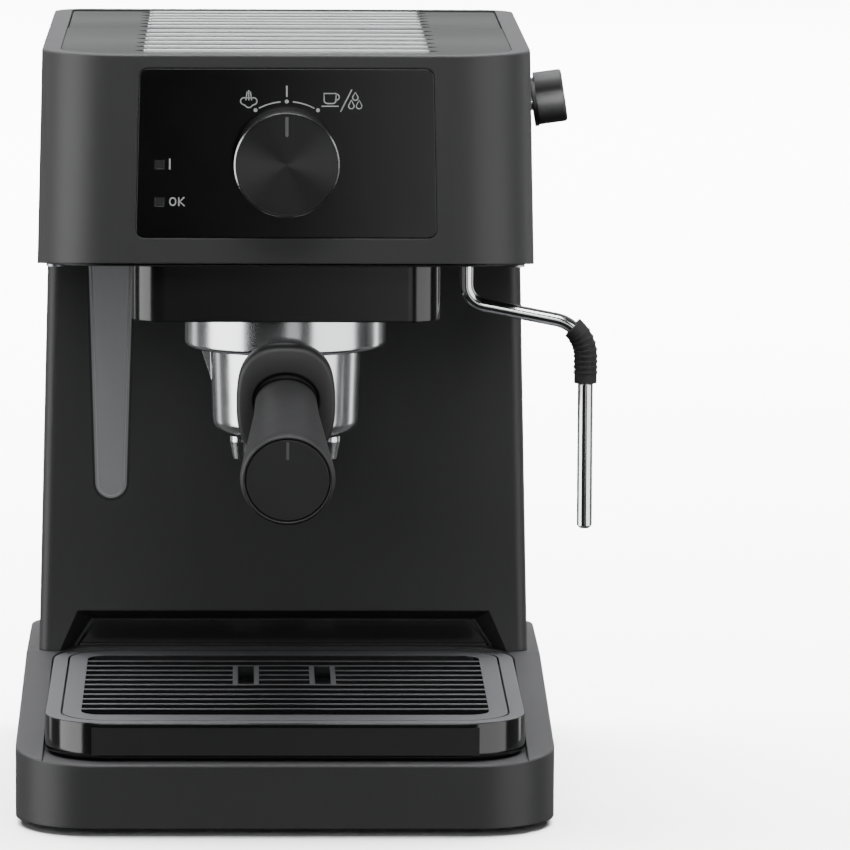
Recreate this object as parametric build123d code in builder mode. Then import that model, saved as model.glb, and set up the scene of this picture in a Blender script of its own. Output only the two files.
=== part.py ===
from build123d import *
import math
import os

# Compact pump espresso machine, as the separate pieces that it comes apart into.
# Millimetres, +Z up, front of the machine towards -Y.
# The origin is the middle of the base's footprint, on the worktop.

# Base on its feet
base_width = 200.0
base_depth = 246.0
base_front_radius = 30.0
base_rear_radius = 14.0
foot_height = 3.0
foot_diameter = 20.0
foot_stud = 6.0
foot_inset = 24.0
sill_height = 27.0
rail_height = 42.0
plate_thickness = 2.0
base_round = 1.0
base_screw_inset = 50.0
deck_sheet = 1.5
deck_margin = 4.0
deck_lap = 4.0

# Moulded casing
wall = 3.0
edge_round = 2.0
fit = 0.3
casing_rear = 120.0
casing_foot_width = 190.2
casing_top_width = 178.6
casing_rear_radius = 12.0
column_front = 40.0
column_front_radius = 4.5
head_front = -98.0
head_front_radius = 30.0
head_bottom = 206.0
head_top = 286.2
head_step = 1.0
head_top_round = 0.8
front_lift = 3.3
boss_diameter = 9.0
boss_sink = 1.0
small_radius = 1.0

# Recess at the column's foot, behind the tray
recess_top_width = 160.0
recess_foot_width = 174.0
recess_height = 16.0
recess_depth = 12.5
recess_draft = 5.0

# Level window in the column's front
window_x = -67.0
window_bottom = 102.0
window_foot_width = 12.3
window_top_width = 18.0
window_flange = 1.0

# Drip tray and grille
tray_width = 178.0
tray_front = -117.0
tray_rear = 51.0
tray_radius = 24.0
tray_top = 41.5
tray_wall = 2.0
tray_clearance = 0.6
tray_rim = 5.7
tray_ledge = 3.5
tray_foot_round = 2.5
tray_panel_width = 143.6
tray_panel_drop = 1.6
tray_panel_depth = 0.6
grille_thickness = 2.5
grille_gap = 0.7
slot_length = 151.4
slots_depth = 132.0
slots_radius = 8.0
bar_count = 11
bar_pitch = 10.6
bar_width = 2.0
lift_hole_x = 14.6
lift_hole_width = 6.0
lift_hole_bars = 4
lift_frame = 2.0

# Top plates
sheet = 1.2
shelf_width = 166.0
shelf_front_radius = 25.0
top_split = 25.4
rib_length = 106.0
rib_width = 4.0
rib_height = 0.8
rib_count = 6
rib_pitch = 18.0
lid_rib_pitch = 13.5

# Control panel and dial
panel_width = 110.4
panel_height = 62.0
panel_centre = 250.0
panel_radius = 3.0
panel_thickness = 1.6
dial_height = 247.0
dial_diameter = 38.0
dial_length = 13.5
dial_dish = 0.4
dial_rim = 1.0
dial_gap = 0.6
shaft_diameter = 6.0
shaft_socket = 8.0
switch_size = 24.0
switch_depth = 13.5
lens_size = 3.0
lens_x = -46.6
lens_spacing = 13.8
lens_upper = 246.0

# Brewing group
group_y = -38.0
ring_diameter = 75.6
ring_bottom = 172.0
ring_round = 2.0
ring_lip = 5.5
ring_flange_width = 8.0
ring_flange = 3.0
fascia_width = 114.0
fascia_front = -93.0
fascia_bottom = 187.0
fascia_wall = 2.5
fascia_radius = 12.0
rim_height = 187.0
gasket_bore = 52.0
screen_diameter = 50.8
screen_drop = 5.0
screen_sheet = 1.0
screen_circles = (9.0, 15.0, 21.0)
screen_counts = (8, 14, 20)

# Boiler above the group
boiler_diameter = 76.0
boiler_height = 43.0
boiler_wall = 5.0
boiler_floor = 6.0
boiler_cover_thickness = 5.0
boiler_ear = 12.0
ear_count = 4
ear_angle = 45.0
boiler_clearance = 2.0
seal_width = 2.0
element_diameter = 7.0
element_ring = 46.0
element_gap_angle = 36.0
element_middle_angle = 180.0
thermostat_diameter = 14.0
thermostat_height = 8.0
thermostat_y = 20.0
hose_port_drop = 8.0
port_diameter = 10.0
port_length = 5.0

# Portafilter
bowl_rim_diameter = 57.6
bowl_foot_diameter = 54.4
bowl_height = 48.5
bowl_wall = 2.4
bowl_round = 6.0
bowl_rib_reach = 3.0
bowl_rib_height = 14.0
bowl_rib_width = 5.0
lug_diameter = 67.2
lug_width = 18.0
lug_height = 7.0
lug_clearance = 0.7
unlock_angle = 45.0
basket_diameter = 51.0
basket_depth = 23.0
basket_sheet = 0.8
basket_circles = (5.0, 11.0, 17.0)
basket_counts = (6, 12, 18)
spout_spread = 33.0
spout_diameter = 8.6
spout_tip_diameter = 6.0
spout_bore = 4.0
spout_bar = 3.0
spout_bottom = 128.8
spout_spigot = 8.0
handle_root_y = -79.5
handle_root_z = 160.5
handle_tilt = 7.0
handle_length = 130.0
handle_collar_width = 36.6
handle_collar_height = 43.4
handle_collar_drop = 3.4
handle_collar_length = 5.2
handle_neck_diameter = 23.6
handle_neck_distance = 39.0
handle_end_diameter = 34.0
handle_stub_diameter = 15.0
bolt_diameter = 6.0
bolt_head = 10.0
bolt_head_height = 5.0
cap_diameter = 29.8
cap_thickness = 3.0

# Steam valve, knob and wand
knob_height = 263.5
knob_tilt = 8.0
knob_lobe_radius = 5.7
knob_lobe_diameter = 10.8
knob_lobe_count = 3
knob_first_lobe = 90.0
knob_notch_radius = 2.0
knob_edge_round = 1.2
knob_length = 10.7
knob_collar_diameter = 18.4
knob_collar = 1.5
knob_gap = 1.5
spindle_diameter = 6.0
valve_diameter = 18.0
valve_length = 24.0
valve_setback = 8.0
valve_port = 8.0
wand_x = 68.0
pipe_diameter = 5.2
pipe_bore = 3.4
pipe_elbow_z = 188.3
pipe_elbow_radius = 8.0
pipe_reach = 45.1
pipe_drop = 8.8
pipe_bend_radius = 14.0
pipe_top = 220.0
swivel_diameter = 13.0
swivel_flange = 18.0
swivel_flange_height = 2.0
swivel_length = 26.0
grip_diameter = 8.6
grip_start_angle = 50.0
grip_bottom = 157.7
grip_rib = 0.28
grip_rib_width = 0.9
grip_rib_count = 8
nozzle_diameter = 3.6
nozzle_bore = 1.6
nozzle_tip = 110.0
nozzle_collar = 6.0
sleeve_diameter = 5.8
sleeve_bore = 4.6
sleeve_tip = 102.4
sleeve_gap = 0.5
sleeve_chamfer = 1.2
sleeve_floor = 2.0
sleeve_hole = 2.6

# Water tank, its seat and its lid
seat_top = 91.0
seat_thickness = 3.0
seat_ledge = 8.0
tank_left = -82.0
tank_right = 56.0
tank_front = 46.0
tank_rear = 107.5
tank_top = 276.0
tank_wall = 2.0
tank_radius = 6.0
tank_lift = 0.4
valve_x = -68.0
water_y = 84.0
spigot_diameter = 13.6
spigot_length = 7.0
socket_diameter = 26.0
socket_depth = 13.0
socket_floor = 2.0
seal_height = 4.0
seal_thickness = 2.0
lid_thickness = 2.6
lid_gap = 0.4
lid_axis_setback = 5.0
lid_axis_drop = 4.5
lid_tail = 2.5
lid_corner = 6.0
lid_pin_diameter = 3.0
knuckle_diameter = 6.0
knuckle_width = 8.0
ear_width = 6.0
ear_offset = 32.0
knuckle_offset = 24.0

# Pump in the foot of the column
pump_height = 30.0
pump_coil_length = 56.0
pump_coil_width = 40.0
pump_coil_height = 38.0
pump_barrel = 22.0
pump_length = 88.0
nipple_diameter = 6.0
nipple_length = 12.0
outlet_length = 8.0
relief_size = 14.0
relief_length = 10.0
hose_diameter = 6.0
hose_bore = 3.0
hose_bend = 10.0
hose_riser_x = 74.0
hose_front_y = 24.0
bush_thickness = 4.0
bush_length = 8.0
bracket_sheet = 1.5
bracket_width = 38.0

# Rear cover, mains entry and switch
cover_sheet = 2.0
cover_lap = 8.0
opening_half = 76.0
opening_margin = 10.0
vent_count = 7
vent_pitch = 8.0
vent_length = 60.0
vent_width = 3.0
vent_gap = 10.0
vent_drop = 40.0
gland_x = -55.0
gland_z = 13.0
gland_neck = 12.0
gland_flange = 18.0
gland_flange_height = 2.5
gland_bore = 7.0
rocker_x = 55.0
rocker_z = 72.0
rocker_width = 11.0
rocker_height = 19.0
rocker_pivot_depth = 4.0
rocker_angle = 8.0
rocker_crown = 2.0
switch_frame = 2.0
switch_body_depth = 18.0

# Electronics
board_x = -67.0
board_y = -45.0
board_width = 24.0
board_length = 76.0
board_thickness = 1.6
board_standoff = 5.0
standoff_diameter = 6.0

# Screws
screw_diameter = 3.5
screw_head = 7.0
screw_head_height = 2.0
screw_length = 12.0
screw_clearance = 0.5
thread_clearance = 0.2
cover_screw_inset = 20.0
head_screw_front = 40.0
head_screw_rear = 20.0
fascia_screw_front = 16.0
fascia_screw_rear = 12.0

# Values that follow from the sizes above
base_front = -base_depth / 2
base_rear = base_depth / 2
plate_top = foot_height + plate_thickness
boss_x = base_width / 2 - wall - boss_diameter / 2
boss_y = base_depth / 2 - base_screw_inset
deck_bottom = rail_height - wall
service_half = casing_foot_width / 2 - wall - boss_diameter - boss_sink
service_front = column_front + recess_depth + 2 * wall
service_rear = casing_rear - 2 * wall
floor_top = head_bottom + fascia_wall
roof_bottom = head_top - wall
shelf_bottom = head_top - sheet
fascia_plate_top = fascia_bottom + fascia_wall
flange_bottom = fascia_plate_top + screw_head_height + screw_clearance
boiler_bottom = flange_bottom + ring_flange
boiler_top = boiler_bottom + boiler_height
cover_top = boiler_top + boiler_cover_thickness
ear_circle = ring_diameter / 2 + screw_head / 2 + screw_clearance
bowl_bottom = rim_height - bowl_height
channel_bottom = ring_bottom + ring_lip
lug_bottom = channel_bottom + lug_clearance
channel_top = lug_bottom + lug_height + lug_clearance
channel_radius = lug_diameter / 2 + lug_clearance
lip_radius = bowl_rim_diameter / 2 + lug_clearance
gasket_bottom = rim_height + basket_sheet + fit
tray_bottom = sill_height + tray_clearance
channel_half = tray_width / 2 + tray_clearance
channel_rear = tray_rear + tray_clearance
channel_corner = tray_radius + tray_clearance
grille_bottom = tray_top - grille_thickness
ledge_top = grille_bottom - fit
lid_width = shelf_width - 2 * lid_gap
lid_top = shelf_bottom
lid_bottom = lid_top - lid_thickness
lid_axis_y = casing_rear - wall - lid_axis_setback
lid_axis_z = head_top - lid_axis_drop
tank_middle = (tank_left + tank_right) / 2
tank_bottom = seat_top + tank_lift
spigot_bottom = tank_bottom - spigot_length
grip_x = wand_x + pipe_reach
swivel_top = head_bottom + swivel_length
screw_hole = screw_diameter + screw_clearance
pilot_hole = screw_diameter + thread_clearance

upside_down = (180, 0, 0)
facing_back = (-90, 0, 0)
group_axis = Axis((0, group_y, 0), (0, 0, 1))
front_of_head = Plane.XZ.offset(-head_front)
front_of_column = Plane.XZ.offset(-column_front)
back_of_casing = Plane.XZ.offset(-casing_rear)
group_section = Plane.XZ.offset(-group_y)


def half_width(z):
    """Half the casing's width at height z: its sides lean in by a steady draft."""
    share = (z - rail_height) / (head_top - rail_height)
    return (casing_foot_width + share * (casing_top_width - casing_foot_width)) / 2


def head_half(z):
    """Half the head's width at height z: it stands a little proud of the column's draft."""
    return half_width(z) + head_step


def inner_radius(radius, inset):
    """Corner radius of an outline drawn in by inset, never quite sharp."""
    return max(radius - inset, 0.5)


def rounded_plan(z, left, right, front, rear, front_radius, rear_radius):
    """Plan outline at height z with its own radius on the front and on the rear corners."""
    with BuildSketch(Plane.XY.offset(z)) as outline:
        with Locations(((left + right) / 2, (front + rear) / 2)):
            Rectangle(right - left, rear - front)
        fillet(outline.vertices().group_by(Axis.Y)[0], front_radius)
        fillet(outline.vertices().group_by(Axis.Y)[-1], rear_radius)
    return outline.sketch


def even_plan(z, half, front, rear, front_radius, rear_radius):
    """Plan outline at height z that reaches as far to the left as to the right."""
    return rounded_plan(z, -half, half, front, rear, front_radius, rear_radius)


def base_plan(z, inset):
    """Outline of the base at height z, drawn in by inset."""
    half = base_width / 2 - inset
    front_round = inner_radius(base_front_radius, inset)
    rear_round = inner_radius(base_rear_radius, inset)
    return even_plan(z, half, base_front + inset, base_rear - inset, front_round, rear_round)


def column_plan(z, inset):
    """Outline of the drafted column at height z, drawn in by inset."""
    half = half_width(z) - inset
    front_round = inner_radius(column_front_radius, inset)
    rear_round = inner_radius(casing_rear_radius, inset)
    return even_plan(z, half, column_front + inset, casing_rear - inset, front_round, rear_round)


def head_plan(z, inset):
    """Outline of the drafted head at height z, drawn in by inset."""
    half = head_half(z) - inset
    front_round = inner_radius(head_front_radius, inset)
    rear_round = inner_radius(casing_rear_radius, inset)
    return even_plan(z, half, head_front + inset, casing_rear - inset, front_round, rear_round)


def front_wedge(front, rise):
    """Section of the wedge under the head: rise high at front, and nothing where its corners end."""
    with BuildSketch(Plane.YZ) as wedge:
        tip = head_front + head_front_radius
        Polygon((front, head_bottom), (tip, head_bottom), (front, head_bottom + rise), align=None)
    return wedge.sketch


def panel_outline(clearance):
    """Outline of the control panel, its sides leaning as the casing's do, grown by clearance."""
    low = panel_centre - panel_height / 2
    high = panel_centre + panel_height / 2
    foot = panel_width / 2 + clearance
    crown = foot - half_width(low) + half_width(high)
    with BuildSketch(front_of_head) as outline:
        lower = [(-foot, low - clearance), (foot, low - clearance)]
        upper = [(crown, high + clearance), (-crown, high + clearance)]
        Polygon(*lower, *upper, align=None)
        fillet(outline.vertices(), panel_radius + clearance)
    return outline.sketch


def tray_plan(z, inset):
    """Outline of the drip tray at height z, drawn in by inset."""
    half = tray_width / 2 - inset
    corner = inner_radius(tray_radius, inset)
    return even_plan(z, half, tray_front + inset, tray_rear - inset, corner, corner)


def deck_plan(z, inset):
    """Outline of the deck panel under the tray at height z, drawn in by inset."""
    half = channel_half - deck_margin - inset
    corner = inner_radius(channel_corner - deck_margin, inset)
    front = tray_front + deck_margin + inset
    return even_plan(z, half, front, channel_rear - deck_margin - inset, corner, corner)


def tank_plan(z, inset):
    """Outline of the water tank at height z, drawn in by inset."""
    corner = inner_radius(tank_radius, inset)
    left = tank_left + inset
    right = tank_right - inset
    return rounded_plan(z, left, right, tank_front + inset, tank_rear - inset, corner, corner)


def window_slot(clearance):
    """Tapered level slot on the column's front, with a round foot."""
    foot = window_foot_width / 2 - clearance
    top = window_top_width / 2 - clearance
    centre = window_bottom + window_foot_width / 2
    with BuildSketch(front_of_column) as slot:
        with Locations((window_x, 0)):
            Polygon((-foot, centre), (foot, centre), (top, head_bottom), (-top, head_bottom), align=None)
        with Locations((window_x, centre)):
            Circle(foot)
    return slot.sketch


def pan_screw():
    """Pan-head screw at the current place: head above, shank below."""
    Cylinder(screw_head / 2, screw_head_height, align=(Align.CENTER, Align.CENTER, Align.MIN))
    Cylinder(screw_diameter / 2, screw_length, align=(Align.CENTER, Align.CENTER, Align.MAX))


def tube(points, bend, outer, bore):
    """Tube along straight runs joined by arcs: bend is their radius, or a list with one radius for each."""
    with BuildLine() as route:
        FilletPolyline(*points, radius=bend)
    with BuildSketch(Plane(origin=route.line @ 0, z_dir=route.line % 0)) as section:
        Circle(outer / 2)
        Circle(bore / 2, mode=Mode.SUBTRACT)
    sweep(section.sketch, path=route.line)


# Places where screws go: base plate, column foot, rear cover, head floor and fascia
base_spots = [(x, y) for x in (-boss_x, boss_x) for y in (-boss_y, boss_y)]
column_boss_x = half_width(rail_height) - wall - boss_diameter / 2 + boss_sink
column_boss_front = service_front + boss_diameter / 2
column_boss_rear = service_rear - boss_diameter / 2
column_rows = (column_boss_front, column_boss_rear)
column_spots = [(x, y) for x in (-column_boss_x, column_boss_x) for y in column_rows]
cover_bottom = rail_height + opening_margin
cover_height = head_bottom - rail_height - 2 * opening_margin
cover_half = opening_half + cover_lap
cover_x = opening_half + cover_lap / 2
cover_low = cover_bottom + cover_screw_inset
cover_high = cover_bottom + cover_height - cover_screw_inset
cover_spots = [(x, z) for x in (-cover_x, cover_x) for z in (cover_low, cover_high)]
head_boss_x = head_half(head_bottom) - wall - boss_diameter / 2 + boss_sink
head_rows = (head_front + head_screw_front, column_front - head_screw_rear)
head_spots = [(x, y) for x in (-head_boss_x, head_boss_x) for y in head_rows]
fascia_boss_x = fascia_width / 2 - fascia_wall - boss_diameter / 2 + boss_sink
fascia_rows = (fascia_front + fascia_screw_front, column_front - fascia_screw_rear)
fascia_spots = [(x, y) for x in (-fascia_boss_x, fascia_boss_x) for y in fascia_rows]
foot_x = base_width / 2 - foot_inset
foot_y = base_depth / 2 - foot_inset
foot_spots = [(x, y) for x in (-foot_x, foot_x) for y in (-foot_y, foot_y)]
standoff_x = board_width / 2 - standoff_diameter / 2
standoff_y = board_length / 2 - standoff_diameter / 2
board_columns = (board_x - standoff_x, board_x + standoff_x)
board_rows = (board_y - standoff_y, board_y + standoff_y)
board_spots = [(x, y) for x in board_columns for y in board_rows]

# Base housing: sloping side rails, a channel for the tray and a deck under the column
with BuildPart() as base_housing:
    outline = base_plan(foot_height, 0)
    extrude(outline, amount=rail_height - foot_height)
    with BuildSketch(Plane.YZ):
        Polygon((base_front, sill_height), (column_front, rail_height), (base_front, rail_height), align=None)
    extrude(amount=base_width, both=True, mode=Mode.SUBTRACT)
    slopes = base_housing.faces().filter_by(Axis.Z, reverse=True)
    slope_face = slopes.sort_by(lambda face: -face.normal_at().Z)[0]
    fillet(slope_face.edges().sort_by(Axis.Y)[:-1], base_round)
    outline = even_plan(sill_height, channel_half, 2 * base_front, channel_rear, small_radius, channel_corner)
    extrude(outline, amount=rail_height, mode=Mode.SUBTRACT)
    extrude(deck_plan(sill_height - deck_sheet, 0), amount=deck_sheet, mode=Mode.SUBTRACT)
    extrude(deck_plan(sill_height - wall, deck_lap), amount=wall, mode=Mode.SUBTRACT)
    outline = base_plan(foot_height, wall)
    extrude(outline, amount=sill_height - wall - foot_height, mode=Mode.SUBTRACT)
    rear_half = base_width / 2 - wall
    rear_end = base_rear - wall
    rear_corner = inner_radius(base_rear_radius, wall)
    outline = even_plan(foot_height, rear_half, service_front, rear_end, small_radius, rear_corner)
    extrude(outline, amount=deck_bottom - foot_height, mode=Mode.SUBTRACT)
    with BuildSketch(Plane.XY.offset(rail_height)):
        with Locations((0, (service_front + service_rear) / 2)):
            Rectangle(2 * service_half, service_rear - service_front)
    extrude(amount=-2 * wall, mode=Mode.SUBTRACT)
    with BuildSketch(Plane.XY.offset(plate_top)):
        with Locations(*base_spots):
            Circle(boss_diameter / 2 + boss_sink)
    extrude(amount=sill_height - wall - plate_top)
    with BuildSketch(Plane.XY.offset(plate_top)):
        with Locations(*base_spots):
            Circle(pilot_hole / 2)
    extrude(amount=screw_length, mode=Mode.SUBTRACT)
    with BuildSketch(Plane.XY.offset(rail_height)):
        with Locations(*column_spots):
            Circle(screw_hole / 2)
    extrude(amount=-2 * wall, mode=Mode.SUBTRACT)
    slot_top = gland_z + gland_neck / 2 + fit
    with BuildSketch(Plane.XZ.offset(-base_rear)):
        with Locations((gland_x, (foot_height + slot_top) / 2)):
            Rectangle(gland_neck + 2 * fit, slot_top - foot_height)
    extrude(amount=2 * wall, mode=Mode.SUBTRACT)
base_housing.part.label = "base_housing"

# Deck panel let into the channel's floor under the tray
with BuildPart() as base_deck:
    extrude(deck_plan(sill_height - deck_sheet, fit), amount=deck_sheet)
base_deck.part.label = "base_deck"

# Base plate that closes the base from below
with BuildPart() as base_plate:
    outline = base_plan(foot_height, wall + fit)
    extrude(outline, amount=plate_thickness)
    with BuildSketch(Plane.XY.offset(foot_height)):
        with Locations(*base_spots):
            Circle(screw_hole / 2)
        with Locations(*foot_spots):
            Circle(foot_stud / 2 + fit / 2)
        with GridLocations(vent_length + 2 * vent_gap, vent_pitch, 2, vent_count):
            SlotOverall(vent_length, vent_width)
    extrude(amount=plate_thickness, mode=Mode.SUBTRACT)
base_plate.part.label = "base_plate"

# Four rubber feet, each with a stud through the base plate
with BuildPart() as rubber_feet:
    with BuildSketch():
        with Locations(*foot_spots):
            Circle(foot_diameter / 2)
    extrude(amount=foot_height)
    chamfer(rubber_feet.edges().group_by(Axis.Z)[0], foot_height / 4)
    with BuildSketch(Plane.XY.offset(foot_height)):
        with Locations(*foot_spots):
            Circle(foot_stud / 2)
    extrude(amount=plate_thickness)
rubber_feet.part.label = "rubber_feet"

# Column shell: front and side walls with the window slot, the foot recess and the rear opening
with BuildPart() as column_shell:
    lower = column_plan(rail_height, 0)
    upper = column_plan(head_bottom, 0)
    loft([lower, upper], ruled=True)
    lower = column_plan(rail_height, wall)
    upper = column_plan(head_bottom, wall)
    loft([lower, upper], ruled=True, mode=Mode.SUBTRACT)
    recess_top = rail_height + recess_height
    with BuildSketch(Plane.XY.offset(rail_height)):
        with Locations((0, column_front + (recess_depth + wall) / 2 + wall / 2)):
            Rectangle(recess_foot_width + 2 * wall, recess_depth + wall)
    extrude(amount=recess_height + wall)
    for y, inset in ((column_front, 0), (column_front + recess_depth, recess_draft)):
        foot = recess_foot_width / 2 - inset
        top = recess_top_width / 2 - inset
        with BuildSketch(Plane.XZ.offset(-y)):
            Polygon(
                (-foot, rail_height),
                (foot, rail_height),
                (top, recess_top - inset),
                (-top, recess_top - inset),
                align=None,
            )
    loft(ruled=True, mode=Mode.SUBTRACT)
    outline = window_slot(0)
    extrude(outline, amount=-wall, mode=Mode.SUBTRACT)
    with BuildSketch(back_of_casing):
        with Locations((0, cover_bottom + cover_lap + (cover_height - 2 * cover_lap) / 2)):
            Rectangle(2 * opening_half, cover_height - 2 * cover_lap)
    extrude(amount=2 * wall, mode=Mode.SUBTRACT)
    with BuildSketch(back_of_casing):
        with Locations(*cover_spots):
            Circle(pilot_hole / 2)
    extrude(amount=2 * wall, mode=Mode.SUBTRACT)
    with BuildSketch(Plane.XY.offset(rail_height)):
        with Locations(*column_spots):
            Circle(boss_diameter / 2)
    extrude(amount=2 * screw_length)
    with BuildSketch(Plane.XY.offset(rail_height)):
        with Locations(*column_spots):
            Circle(pilot_hole / 2)
    extrude(amount=screw_length, mode=Mode.SUBTRACT)
    seat_bottom = seat_top - seat_thickness
    ledge_x = half_width(seat_bottom) - wall / 2 - seat_ledge / 2
    with BuildSketch(Plane.XY.offset(seat_bottom)):
        with Locations((-ledge_x, water_y), (ledge_x, water_y)):
            Rectangle(seat_ledge, tank_rear - tank_front)
    extrude(amount=-2 * wall)
column_shell.part.label = "column_shell"

# Smoky level window in the slot, with a flange behind the wall
with BuildPart() as level_window:
    outline = window_slot(fit)
    extrude(outline, amount=-wall)
    with BuildSketch(Plane.XZ.offset(-column_front - wall)):
        with Locations((window_x, (window_bottom + head_bottom) / 2)):
            Rectangle(window_top_width + 2 * wall, head_bottom - window_bottom - 2 * fit)
    extrude(amount=-window_flange)
level_window.part.label = "level_window"

# Rear cover with air slots and the switch opening
rocker_hole_width = rocker_width + 2 * switch_frame
rocker_hole_height = rocker_height + 2 * switch_frame
with BuildPart() as rear_cover:
    with BuildSketch(back_of_casing) as cover_face:
        with Locations((0, cover_bottom + cover_height / 2)):
            RectangleRounded(2 * cover_half, cover_height, cover_lap / 2)
        with Locations(*cover_spots):
            Circle(screw_hole / 2, mode=Mode.SUBTRACT)
        with Locations((rocker_x, rocker_z)):
            Rectangle(rocker_hole_width, rocker_hole_height, mode=Mode.SUBTRACT)
        with Locations((0, cover_bottom + cover_height - vent_drop)):
            with GridLocations(vent_length + vent_gap, vent_pitch, 2, vent_count):
                SlotOverall(vent_length, vent_width, mode=Mode.SUBTRACT)
    extrude(amount=-cover_sheet)
rear_cover.part.label = "rear_cover"

# Gland where the mains lead enters: a round flange on a square neck in the rear wall's slot
with BuildPart() as cord_gland:
    with BuildSketch(Plane.XZ.offset(-base_rear)):
        with Locations((gland_x, gland_z)):
            Circle(gland_flange / 2)
    extrude(amount=-gland_flange_height)
    with BuildSketch(Plane.XZ.offset(-base_rear)):
        with Locations((gland_x, gland_z)):
            Rectangle(gland_neck, gland_neck)
    extrude(amount=4 * wall)
    with BuildSketch(Plane.XZ.offset(-base_rear - gland_flange_height)):
        with Locations((gland_x, gland_z)):
            Circle(gland_bore / 2)
    extrude(amount=4 * wall + gland_flange_height, mode=Mode.SUBTRACT)
cord_gland.part.label = "cord_gland"

# Switch body behind the rear cover, open where the rocker tips
rocker_axis_y = casing_rear + cover_sheet - rocker_pivot_depth
rocker_room = rocker_height / 2 * math.sin(math.radians(rocker_angle)) + rocker_pivot_depth
with BuildPart() as power_switch:
    with BuildSketch(back_of_casing.offset(-cover_sheet)):
        with Locations((rocker_x, rocker_z)):
            Rectangle(rocker_hole_width - 2 * fit, rocker_hole_height - 2 * fit)
    extrude(amount=switch_body_depth)
    with BuildSketch(back_of_casing.offset(-cover_sheet)):
        with Locations((rocker_x, rocker_z)):
            Rectangle(rocker_width + 2 * fit, rocker_height + 4 * fit)
    extrude(amount=rocker_pivot_depth + rocker_room, mode=Mode.SUBTRACT)
power_switch.part.label = "power_switch"

# Rocker that tips about a line across its middle
with BuildPart() as power_rocker:
    half = rocker_height / 2
    back = rocker_axis_y - rocker_pivot_depth / 2
    with BuildSketch(Plane.YZ.offset(rocker_x - rocker_width / 2)):
        with BuildLine():
            Polyline(
                (casing_rear + cover_sheet + rocker_crown, rocker_z + half - fit),
                (back, rocker_z + half - fit),
                (back, rocker_z - half + fit),
                (casing_rear + cover_sheet + rocker_crown, rocker_z - half + fit),
            )
            ThreePointArc(
                (casing_rear + cover_sheet + rocker_crown, rocker_z - half + fit),
                (casing_rear + cover_sheet, rocker_z),
                (casing_rear + cover_sheet + rocker_crown, rocker_z + half - fit),
            )
        make_face()
    extrude(amount=rocker_width)
power_rocker.part.label = "power_rocker"

# Steam valve's axis: out through the head's right side, tilted up
tilt = math.radians(knob_tilt)
knob_side = head_half(knob_height)
knob_face = Plane(
    origin=(knob_side, group_y, knob_height),
    x_dir=(0, 1, 0),
    z_dir=(math.cos(tilt), 0, math.sin(tilt)),
)

# Head shell: drafted walls and a roof, with the panel recess and the tank opening
with BuildPart() as head_shell:
    lower = head_plan(head_bottom, 0)
    upper = head_plan(head_top, 0)
    loft([lower, upper], ruled=True)
    fillet(head_shell.faces().sort_by(Axis.Z)[-1].outer_wire().edges(), head_top_round)
    lower = head_plan(head_bottom, wall)
    upper = head_plan(roof_bottom, wall)
    loft([lower, upper], ruled=True, mode=Mode.SUBTRACT)
    recess_half = shelf_width / 2 + fit
    recess_front = head_front + wall - fit
    recess_corner = shelf_front_radius + fit
    outline = even_plan(shelf_bottom, recess_half, recess_front, top_split, recess_corner, fit)
    extrude(outline, amount=sheet, mode=Mode.SUBTRACT)
    with BuildSketch(Plane.XY.offset(head_top)):
        with Locations((0, (top_split + casing_rear - wall) / 2)):
            Rectangle(2 * recess_half, casing_rear - wall - top_split)
    extrude(amount=-wall, mode=Mode.SUBTRACT)
    extrude(panel_outline(fit), amount=-panel_thickness, mode=Mode.SUBTRACT)
    with BuildSketch(front_of_head):
        with Locations((0, dial_height)):
            Circle(shaft_diameter / 2 + 2 * fit)
        with Locations((lens_x, lens_upper), (lens_x, lens_upper - lens_spacing)):
            Rectangle(lens_size + 2 * fit, lens_size + 2 * fit)
    extrude(amount=-2 * wall, mode=Mode.SUBTRACT)
    with BuildSketch(knob_face):
        Circle(spindle_diameter / 2 + 2 * fit)
    extrude(amount=2 * wall, both=True, mode=Mode.SUBTRACT)
    with BuildSketch(Plane.XY.offset(floor_top)):
        with Locations(*head_spots):
            Circle(boss_diameter / 2)
    extrude(amount=1.5 * screw_length)
    with BuildSketch(Plane.XY.offset(floor_top)):
        with Locations(*head_spots):
            Circle(pilot_hole / 2)
    extrude(amount=screw_length, mode=Mode.SUBTRACT)
    extrude(front_wedge(head_front, front_lift), amount=casing_foot_width, both=True, mode=Mode.SUBTRACT)
head_shell.part.label = "head_shell"

# Floor of the head, with the boiler's opening, the wand's hole and the board's standoffs
boiler_opening = ear_circle + boiler_ear / 2 + boiler_clearance
with BuildPart() as head_floor:
    floor_half = head_half(head_bottom) - wall - 2 * fit
    floor_corner = inner_radius(head_front_radius, wall + 2 * fit)
    floor_front = head_front + wall + 2 * fit
    floor_rear = column_front + wall
    floor_rise = fascia_wall - sheet / 2
    outline = even_plan(head_bottom, floor_half, floor_front, floor_rear, floor_corner, small_radius)
    extrude(outline, amount=fascia_wall)
    with BuildSketch(Plane.XY.offset(head_bottom)):
        with Locations((0, group_y)):
            Circle(boiler_opening)
        with Locations((wand_x, group_y)):
            Circle(swivel_diameter / 2 + fit / 2)
        with Locations(*head_spots, *fascia_spots):
            Circle(screw_hole / 2)
    extrude(amount=fascia_wall, mode=Mode.SUBTRACT)
    with BuildSketch(Plane.XY.offset(floor_top)):
        with Locations(*board_spots):
            Circle(standoff_diameter / 2)
    extrude(amount=board_standoff)
    extrude(front_wedge(floor_front, floor_rise), amount=casing_foot_width, both=True, mode=Mode.SUBTRACT)
head_floor.part.label = "head_floor"

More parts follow.
